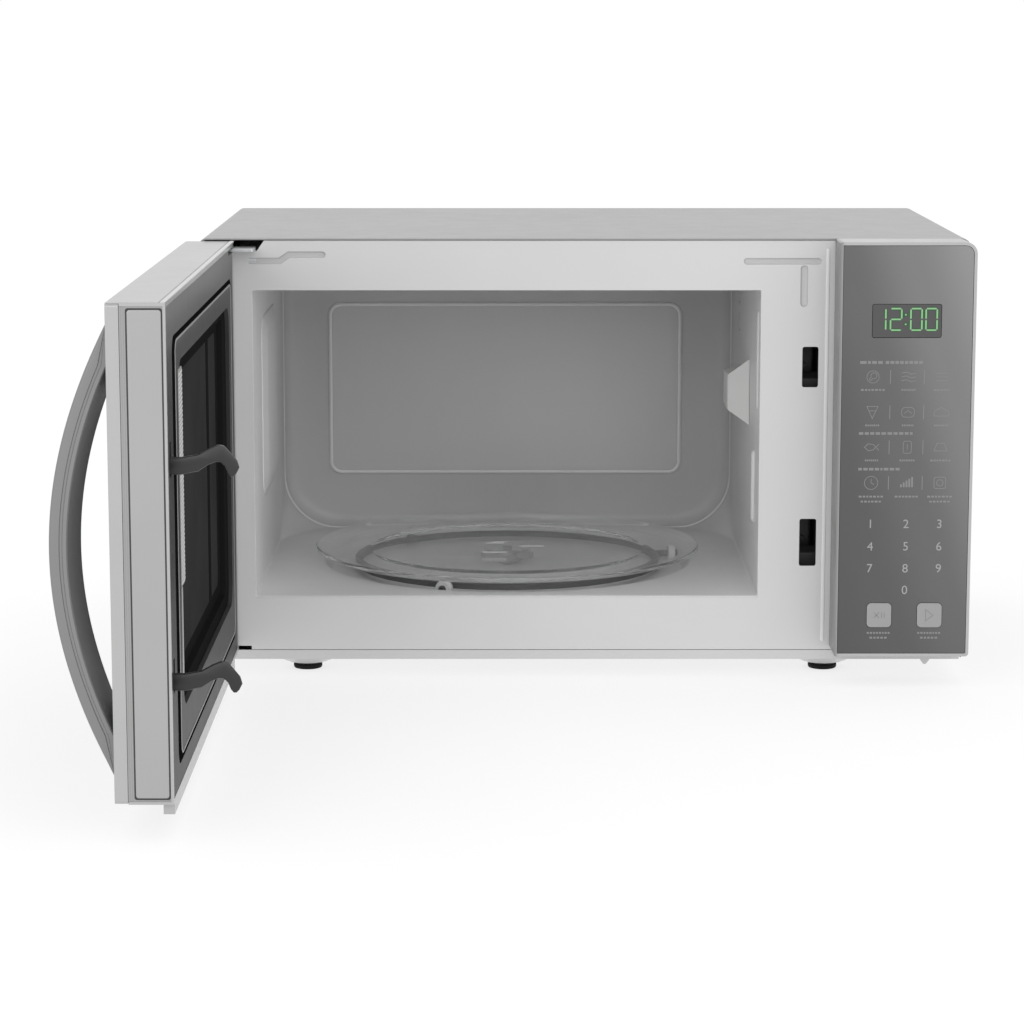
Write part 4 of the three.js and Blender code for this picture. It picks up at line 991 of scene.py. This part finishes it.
def make_door_top():
    """The smooth cap along the door's upper edge, the line beside it and the raised lip at its inner side."""
    strips = (
        ("door_top_cap", -33.4, -4.6, 289.2, "silver_plastic"),
        ("door_top_lip", -3.4, -0.7, 289.5, "rim_pale"),
        ("door_top_line", -4.9, -3.2, 289.06, "edge_step"),
    )
    for name, front, back, top, look in strips:
        rings = []
        for z, inset in ((288.6, 0.0), (top - 0.12, 0.0), (top, 0.12)):
            loop = inset_loop(-266.5, 172.2, front, back, inset, 0.4, 3)
            rings.append([on_door(x, y, z) for x, y in loop])
        made = piece(name, *loft(rings), "door", "silver_plastic", look)
        shade_by_angle(made, 30)


HOOK_ROOT = -14
HOOK_OUTLINE = (
    (HOOK_ROOT, 66.1), (12, 66.1), (23.6, 73.6), (29.2, 72.9), (32.4, 65), (35.6, 65), (38.8, 71.3),
    (30.6, 81.4), (28.4, 82.7), (24.5, 82.7), (12, 75.8), (HOOK_ROOT, 75.8),
)


def rounded_outline(points):
    """Every corner cut off, except those at the hook's root."""
    cut = []
    for i, (u, v) in enumerate(points):
        u1, v1 = points[(i + 1) % len(points)]
        if u <= HOOK_ROOT and u1 <= HOOK_ROOT:
            cut += [(u, v), (u1, v1)]
            continue
        first = 0.0 if u <= HOOK_ROOT else 0.25
        last = 1.0 if u1 <= HOOK_ROOT else 0.75
        cut += [(u + (u1 - u) * k, v + (v1 - v) * k) for k in (first, last)]
    return [p for i, p in enumerate(cut) if p != cut[i - 1]]


def shrunk(points, inset):
    """An anticlockwise outline moved inward by inset."""
    moved = []
    for i, (u, v) in enumerate(points):
        (u0, v0), (u1, v1) = points[i - 1], points[(i + 1) % len(points)]
        length = math.hypot(u1 - u0, v1 - v0)
        moved.append((u - inset * (v1 - v0) / length, v + inset * (u1 - u0) / length))
    return moved


def make_door_key():
    outline = rounded_outline(HOOK_OUTLINE)
    sections = ((155.0, 0.7), (155.2, 0.3), (155.7, 0.0), (158.9, 0.0), (159.4, 0.3), (159.6, 0.7))
    bar_loop = rounded_loop(-19, -13, 56, 210, 1.2, 4)
    parts = []
    for loop, lift in ((outline, 0.0), (outline, HOOK_SPACING), (bar_loop, 0.0)):
        rings = []
        for x, inset in sections:
            rings.append([on_door(x, y, z + lift) for y, z in shrunk(loop, inset)])
        parts.append(loft(rings))
    key = piece("latch_key", *merged(parts), "door_key", "black_plastic", "hook_plastic",
                stands_for=("door_key",))
    shade_by_angle(key, 32)


# ---------------------------------------------------------------- control panel print
PRINT_LIFT = 0.06


def flat_print(outline, look_y=PANEL_FACE_Y):
    """A thin raised print on the panel face, from an outline in (x, z)."""
    back = facing(outline, look_y + 0.05)
    front = facing(outline, look_y - PRINT_LIFT)
    return loft([back, front])


def bar(x0, x1, z0, z1, y=PANEL_FACE_Y):
    return flat_print([(x0, z0), (x1, z0), (x1, z1), (x0, z1)], y)


def stroke(points, width, closed=False, y=PANEL_FACE_Y):
    """A line of even width along points, as joined bars with mitred ends."""
    count = len(points)
    sides = ([], [])
    for i, (u, v) in enumerate(points):
        before = points[(i - 1) % count] if closed or i else points[i]
        after = points[(i + 1) % count] if closed or i + 1 < count else points[i]
        into = math.atan2(v - before[1], u - before[0]) if before != points[i] else None
        out = math.atan2(after[1] - v, after[0] - u) if after != points[i] else None
        into = out if into is None else into
        out = into if out is None else out
        swing = math.remainder(out - into, 2 * math.pi)
        half = into + swing / 2
        reach = width / 2 / max(math.cos(swing / 2), 0.35)
        sides[0].append((u + reach * math.sin(half), v - reach * math.cos(half)))
        sides[1].append((u - reach * math.sin(half), v + reach * math.cos(half)))
    parts = []
    for i in range(count if closed else count - 1):
        j = (i + 1) % count
        parts.append(flat_print([sides[0][i], sides[0][j], sides[1][j], sides[1][i]], y))
    return merged(parts)


def circle(x, z, radius, count=28):
    return [(x + radius * math.cos(2 * math.pi * i / count), z + radius * math.sin(2 * math.pi * i / count))
            for i in range(count)]


def greeked(x0, x1, z0, z1, pattern):
    """A word's grey bar: blocks whose widths follow the pattern, with narrow gaps."""
    total = sum(pattern) + 0.45 * (len(pattern) - 1)
    unit = (x1 - x0) / total
    parts, x = [], x0
    for share in pattern:
        parts.append(bar(x, x + share * unit, z0, z1))
        x += (share + 0.45) * unit
    return parts


COLUMNS = (198.0, 222.5, 245.5)
ICON_ROWS = (198.3, 173.8, 149.5, 124.6)


def icons():
    """Generic pictograms: rings, bars, cones and boxes."""
    thin = 0.42
    a, b, c = COLUMNS
    r1, r2, r3, r4 = ICON_ROWS
    parts = [
        stroke(circle(a, r1, 4.2), thin, True), stroke(circle(a + 0.6, r1 + 0.8, 2.0), thin, True),
        stroke(circle(a - 1.4, r1 - 1.4, 0.9), thin, True),
        stroke([(a - 3.8, r2 + 4), (a + 3.8, r2 + 4), (a, r2 - 4.4)], thin, True),
        stroke([(a - 2.4, r2 + 1), (a + 2.4, r2 + 1)], thin),
        stroke([(a - 5, r3), (a - 2.5, r3 + 2.4), (a + 1.2, r3 + 1.8), (a + 2.8, r3), (a + 1.2, r3 - 1.8),
                (a - 2.5, r3 - 2.4)], thin, True),
        stroke([(a + 5, r3 + 2.2), (a + 2.9, r3), (a + 5, r3 - 2.2)], thin),
        stroke(circle(a, r4, 4.6), thin, True), stroke([(a, r4 + 2.8), (a, r4), (a + 2.0, r4 - 1.2)], thin),
        stroke(rounded_loop(b - 4.4, b + 4.4, r2 - 3.4, r2 + 3.4, 2.6, 5), thin, True),
        stroke([(b - 2.6, r2 - 0.8), (b, r2 + 1.2), (b + 2.6, r2 - 0.8)], thin),
        stroke(rounded_loop(b - 2.8, b + 2.8, r3 - 4.2, r3 + 4.2, 1.2, 4), thin, True),
        stroke([(b, r3 - 1.8), (b, r3 + 2.2)], thin),
        stroke([(c - 4.6, r3 - 2.6), (c + 4.6, r3 - 2.6), (c + 2.4, r3 + 2.8), (c - 2.4, r3 + 2.8)],
               thin, True),
        stroke([(c - 5, r2 - 2.6), (c - 5, r2 + 0.6), (c, r2 + 3.4), (c + 5, r2 + 0.6), (c + 5, r2 - 2.6)],
               thin, True),
        stroke(rounded_loop(c - 4, c + 4, r4 - 4, r4 + 4, 1.4, 4), thin, True),
        stroke(circle(c, r4, 2.2, 20), thin, True),
    ]
    for lift in (-2.6, 0, 2.6):
        parts.append(stroke([(b - 5, r1 + lift), (b - 1.6, r1 + lift + 0.7), (b + 1.6, r1 + lift - 0.7),
                             (b + 5, r1 + lift)], thin))
        parts.append(stroke([(c - 4, r1 + lift), (c + 4, r1 + lift)], thin))
    for i in range(5):
        parts.append(bar(b - 4.4 + i * 1.9, b - 3.2 + i * 1.9, r4 - 3, r4 - 1 + i * 1.3))
    return parts


def captions():
    parts = []
    parts += greeked(189, 204.5, 207.3, 209.3, (2.2, 1, 1.6, 1.6))
    parts += greeked(206.5, 232, 207.3, 209.3, (1.5, 1.6, 1.5, 1.5, 1.4, 1.5, 1.6, 1.5))
    parts += greeked(189, 226, 158.2, 160.0, (1.5, 1.4, 1.4, 1.5, 1.6, 1.6, 1.4, 1.5, 1.3, 0.9))
    parts += greeked(189, 217.5, 133.3, 135.1, (1.3, 1.5, 1.6, 1.5, 0.7, 1.6, 1.6, 1.4))
    small = {
        189.3: ((-8.2, 8.2), (-4.8, 4.8), (-5.5, 5.5)), 164.7: ((-4.8, 4.8), (-4, 4), (-5, 5)),
        140.3: ((-4.6, 4.6), (-5.2, 5.2), (-7, 7)), 115.0: ((-8.4, 8.4), (-8, 8), (-8.5, 8.5)),
    }
    for z, spans in small.items():
        for x, (low, high) in zip(COLUMNS, spans):
            parts += greeked(x + low, x + high, z - 0.62, z + 0.62, (1.2, 1, 0.8, 1, 1.2, 0.9, 1))
    for x in (COLUMNS[0], COLUMNS[2]):
        parts += greeked(x - 7, x + 7, 110.9, 112.1, (1, 1.1, 0.8, 1, 1.2, 0.9))
    for x in (204.9, 240.1):
        parts += greeked(x - 8, x + 8, 18.2, 19.5, (1, 1.2, 0.9, 1, 1.1, 0.8, 1, 1))
        parts += greeked(x - 6, x + 6, 14.8, 16.1, (1.1, 0.9, 1, 1, 1.1))
    return parts


def separators():
    parts = []
    for x in (210.0, 233.3):
        for z in ICON_ROWS:
            parts.append(bar(x - 0.25, x + 0.25, z - 4.8, z + 4.8))
    return parts


def number_meshes():
    columns = (198.1, 222.7, 245.8)
    rows = (95.9, 80.1, 64.6)
    places = {str(3 * r + c + 1): (columns[c], rows[r]) for r in range(3) for c in range(3)}
    places["0"] = (222.6, 49.3)
    parts = []
    for text, (x, z) in places.items():
        curve = bpy.data.curves.new("digit", "FONT")
        curve.body = text
        curve.size = 8.6
        curve.align_x = "CENTER"
        curve.align_y = "CENTER"
        curve.extrude = PRINT_LIFT
        holder = bpy.data.objects.new("digit", curve)
        bpy.context.scene.collection.objects.link(holder)
        bpy.context.view_layer.update()
        mesh = bpy.data.meshes.new_from_object(holder.evaluated_get(bpy.context.evaluated_depsgraph_get()))
        bpy.data.objects.remove(holder)
        us = [v.co.x for v in mesh.vertices]
        vs = [v.co.y for v in mesh.vertices]
        mid_u, mid_v = (min(us) + max(us)) / 2, (min(vs) + max(vs)) / 2
        points = [at(x + v.co.x - mid_u, PANEL_FACE_Y - v.co.z, z + v.co.y - mid_v) for v in mesh.vertices]
        parts.append((points, [tuple(p.vertices) for p in mesh.polygons]))
        bpy.data.meshes.remove(mesh)
    return parts


SEGMENTS = {"0": "abcdef", "1": "bc", "2": "abged"}


def seven_segment(text_digit, x0, z0, width, height, thick, y):
    """One clock digit from bars with pointed ends."""
    gap = 0.25
    mid = z0 + height / 2
    ends = {
        "a": ((x0, z0 + height), (x0 + width, z0 + height)), "d": ((x0, z0), (x0 + width, z0)),
        "g": ((x0, mid), (x0 + width, mid)), "f": ((x0, mid), (x0, z0 + height)),
        "b": ((x0 + width, mid), (x0 + width, z0 + height)), "e": ((x0, z0), (x0, mid)),
        "c": ((x0 + width, z0), (x0 + width, mid)),
    }
    parts = []
    for key in SEGMENTS[text_digit]:
        (ax, az), (bx, bz) = ends[key]
        along_x, along_z = (1, 0) if az == bz else (0, 1)
        side_x, side_z = along_z * thick / 2, along_x * thick / 2
        a = (ax + along_x * gap, az + along_z * gap)
        b = (bx - along_x * gap, bz - along_z * gap)
        tip = thick / 2
        outline = [
            a, (a[0] + along_x * tip + side_x, a[1] + along_z * tip - side_z),
            (b[0] - along_x * tip + side_x, b[1] - along_z * tip - side_z), b,
            (b[0] - along_x * tip - side_x, b[1] - along_z * tip + side_z),
            (a[0] + along_x * tip - side_x, a[1] + along_z * tip + side_z),
        ]
        parts.append(flat_print(outline, y))
    return parts


def clock(thick, y):
    digits = [("1", 199.5, 6.5), ("2", 209.3, 7.6), ("0", 223.2, 7.6), ("0", 233.6, 7.6)]
    parts = []
    for digit, x, width in digits:
        parts += seven_segment(digit, x, 230.6, width, 14.8, thick, y)
    for z in (234.6, 241.2):
        parts.append(bar(219.7 - thick / 2, 219.7 + thick / 2, z - thick / 2, z + thick / 2, y))
    return merged(parts)


KEY_FACE_Y = -33.92
STOP_X, START_X, KEYS_Z = 205.2, 240.2, 31.4


def key_line(points, closed=False):
    """A thin line printed on a key."""
    return stroke(points, 0.4, closed, y=KEY_FACE_Y)


def make_panel_print():
    """The prints on the panel's face, the lit clock, and the marks that ride on the two keys."""
    x, z = STOP_X, KEYS_Z
    stop = merged([
        key_line([(x - 3.6, z - 2), (x, z + 2), (x + 0.2, z + 2)]),
        key_line([(x - 3.6, z + 2), (x, z - 2)]),
        key_line([(x + 1.8, z - 2), (x + 1.8, z + 2)]),
        key_line([(x + 3.6, z - 2), (x + 3.6, z + 2)]),
    ])
    start = key_line([(START_X - 2.6, z - 4), (START_X + 2.6, z), (START_X - 2.6, z + 4)], True)
    prints = (
        ("panel_icons", merged(icons() + separators()), "cabinet", "key_plastic", "print_dim"),
        ("panel_captions", merged(captions()), "cabinet", "key_plastic", "print_dim"),
        ("panel_numbers", merged(number_meshes()), "cabinet", "key_plastic", "print_grey"),
        ("clock_halo", clock(2.6, -33.32), "cabinet", "display_tint", "digit_halo"),
        ("clock_digits", clock(1.1, PANEL_FACE_Y), "cabinet", "display_tint", "digit_green"),
        ("stop_mark", stop, "stop_key", "key_plastic", "key_print"),
        ("start_mark", start, "start_key", "key_plastic", "key_print"),
    )
    for name, shape, body, slot, look in prints:
        piece(name, *shape, body, slot, look, smooth=False)


# ---------------------------------------------------------------- stage, lights and camera
def floor_material():
    """A floor that glows, so that it stays pale and the shadow on it soft."""
    mat, nodes, links, shader, place = new_material("floor_pale")
    slow = noise(nodes, links, place, 2.0)
    links.new(ramp(nodes, links, slow, [(0.3, 0.295), (0.7, 0.305)]), shader.inputs["Base Color"])
    shader.inputs["Emission Color"].default_value = (1.0, 1.0, 1.0, 1.0)
    shader.inputs["Emission Strength"].default_value = 0.71
    shader.inputs["Roughness"].default_value = 0.95
    shader.inputs["Specular IOR Level"].default_value = 0.0
    return mat


def make_stage():
    reach = 30.0
    mesh = bpy.data.meshes.new("floor")
    corners = [(-reach, -reach, 0), (reach, -reach, 0), (reach, reach, 0), (-reach, reach, 0)]
    mesh.from_pydata(corners, [], [(0, 1, 2, 3)])
    floor = bpy.data.objects.new("floor", mesh)
    bpy.context.scene.collection.objects.link(floor)
    mesh.materials.append(floor_material())

    world = bpy.data.worlds.new("studio")
    world.use_nodes = True
    world.node_tree.nodes["Background"].inputs["Color"].default_value = (1.0, 1.0, 1.0, 1.0)
    world.node_tree.nodes["Background"].inputs["Strength"].default_value = 1.0
    bpy.context.scene.world = world


def area_light(name, place, target, size, power):
    data = bpy.data.lights.new(name, "AREA")
    data.shape = "RECTANGLE"
    data.size, data.size_y = size
    data.energy = power
    light = bpy.data.objects.new(name, data)
    bpy.context.scene.collection.objects.link(light)
    light.location = place
    light.rotation_euler = (Vector(target) - Vector(place)).to_track_quat("-Z", "Y").to_euler()


def make_lights():
    area_light("top_softbox", (-0.3, -0.2, 2.4), (0.0, 0.1, 0.2), (2.4, 2.0), 0.5)
    area_light("front_softbox", (0.4, -2.9, 1.3), (0.0, 0.0, 0.15), (1.6, 1.2), 10.0)
    area_light("left_softbox", (-1.1, -2.4, 0.9), (0.1, 0.1, 0.15), (0.8, 1.0), 6.0)


def make_camera():
    data = bpy.data.cameras.new("camera")
    data.lens = 110.4
    data.sensor_width = 36.0
    camera = bpy.data.objects.new("camera", data)
    bpy.context.scene.collection.objects.link(camera)
    camera.location = (-0.0281, -2.11585, 0.4776)
    camera.rotation_euler = (math.radians(80.645), 0.0, 0.0)
    bpy.context.scene.camera = camera
    bpy.context.scene.view_settings.view_transform = "Standard"


# ---------------------------------------------------------------- put together
make_camera()
make_stage()
make_lights()
dress_nodes()
make_cavity()
make_plate()
make_plate_ridge()
make_tray()
make_rollers()
make_feet()
make_handle()
make_window_frame()
make_screen_strip()
make_cover_shade_strip()
make_edge_panel()
make_door_top()
make_door_key()
make_panel_print()
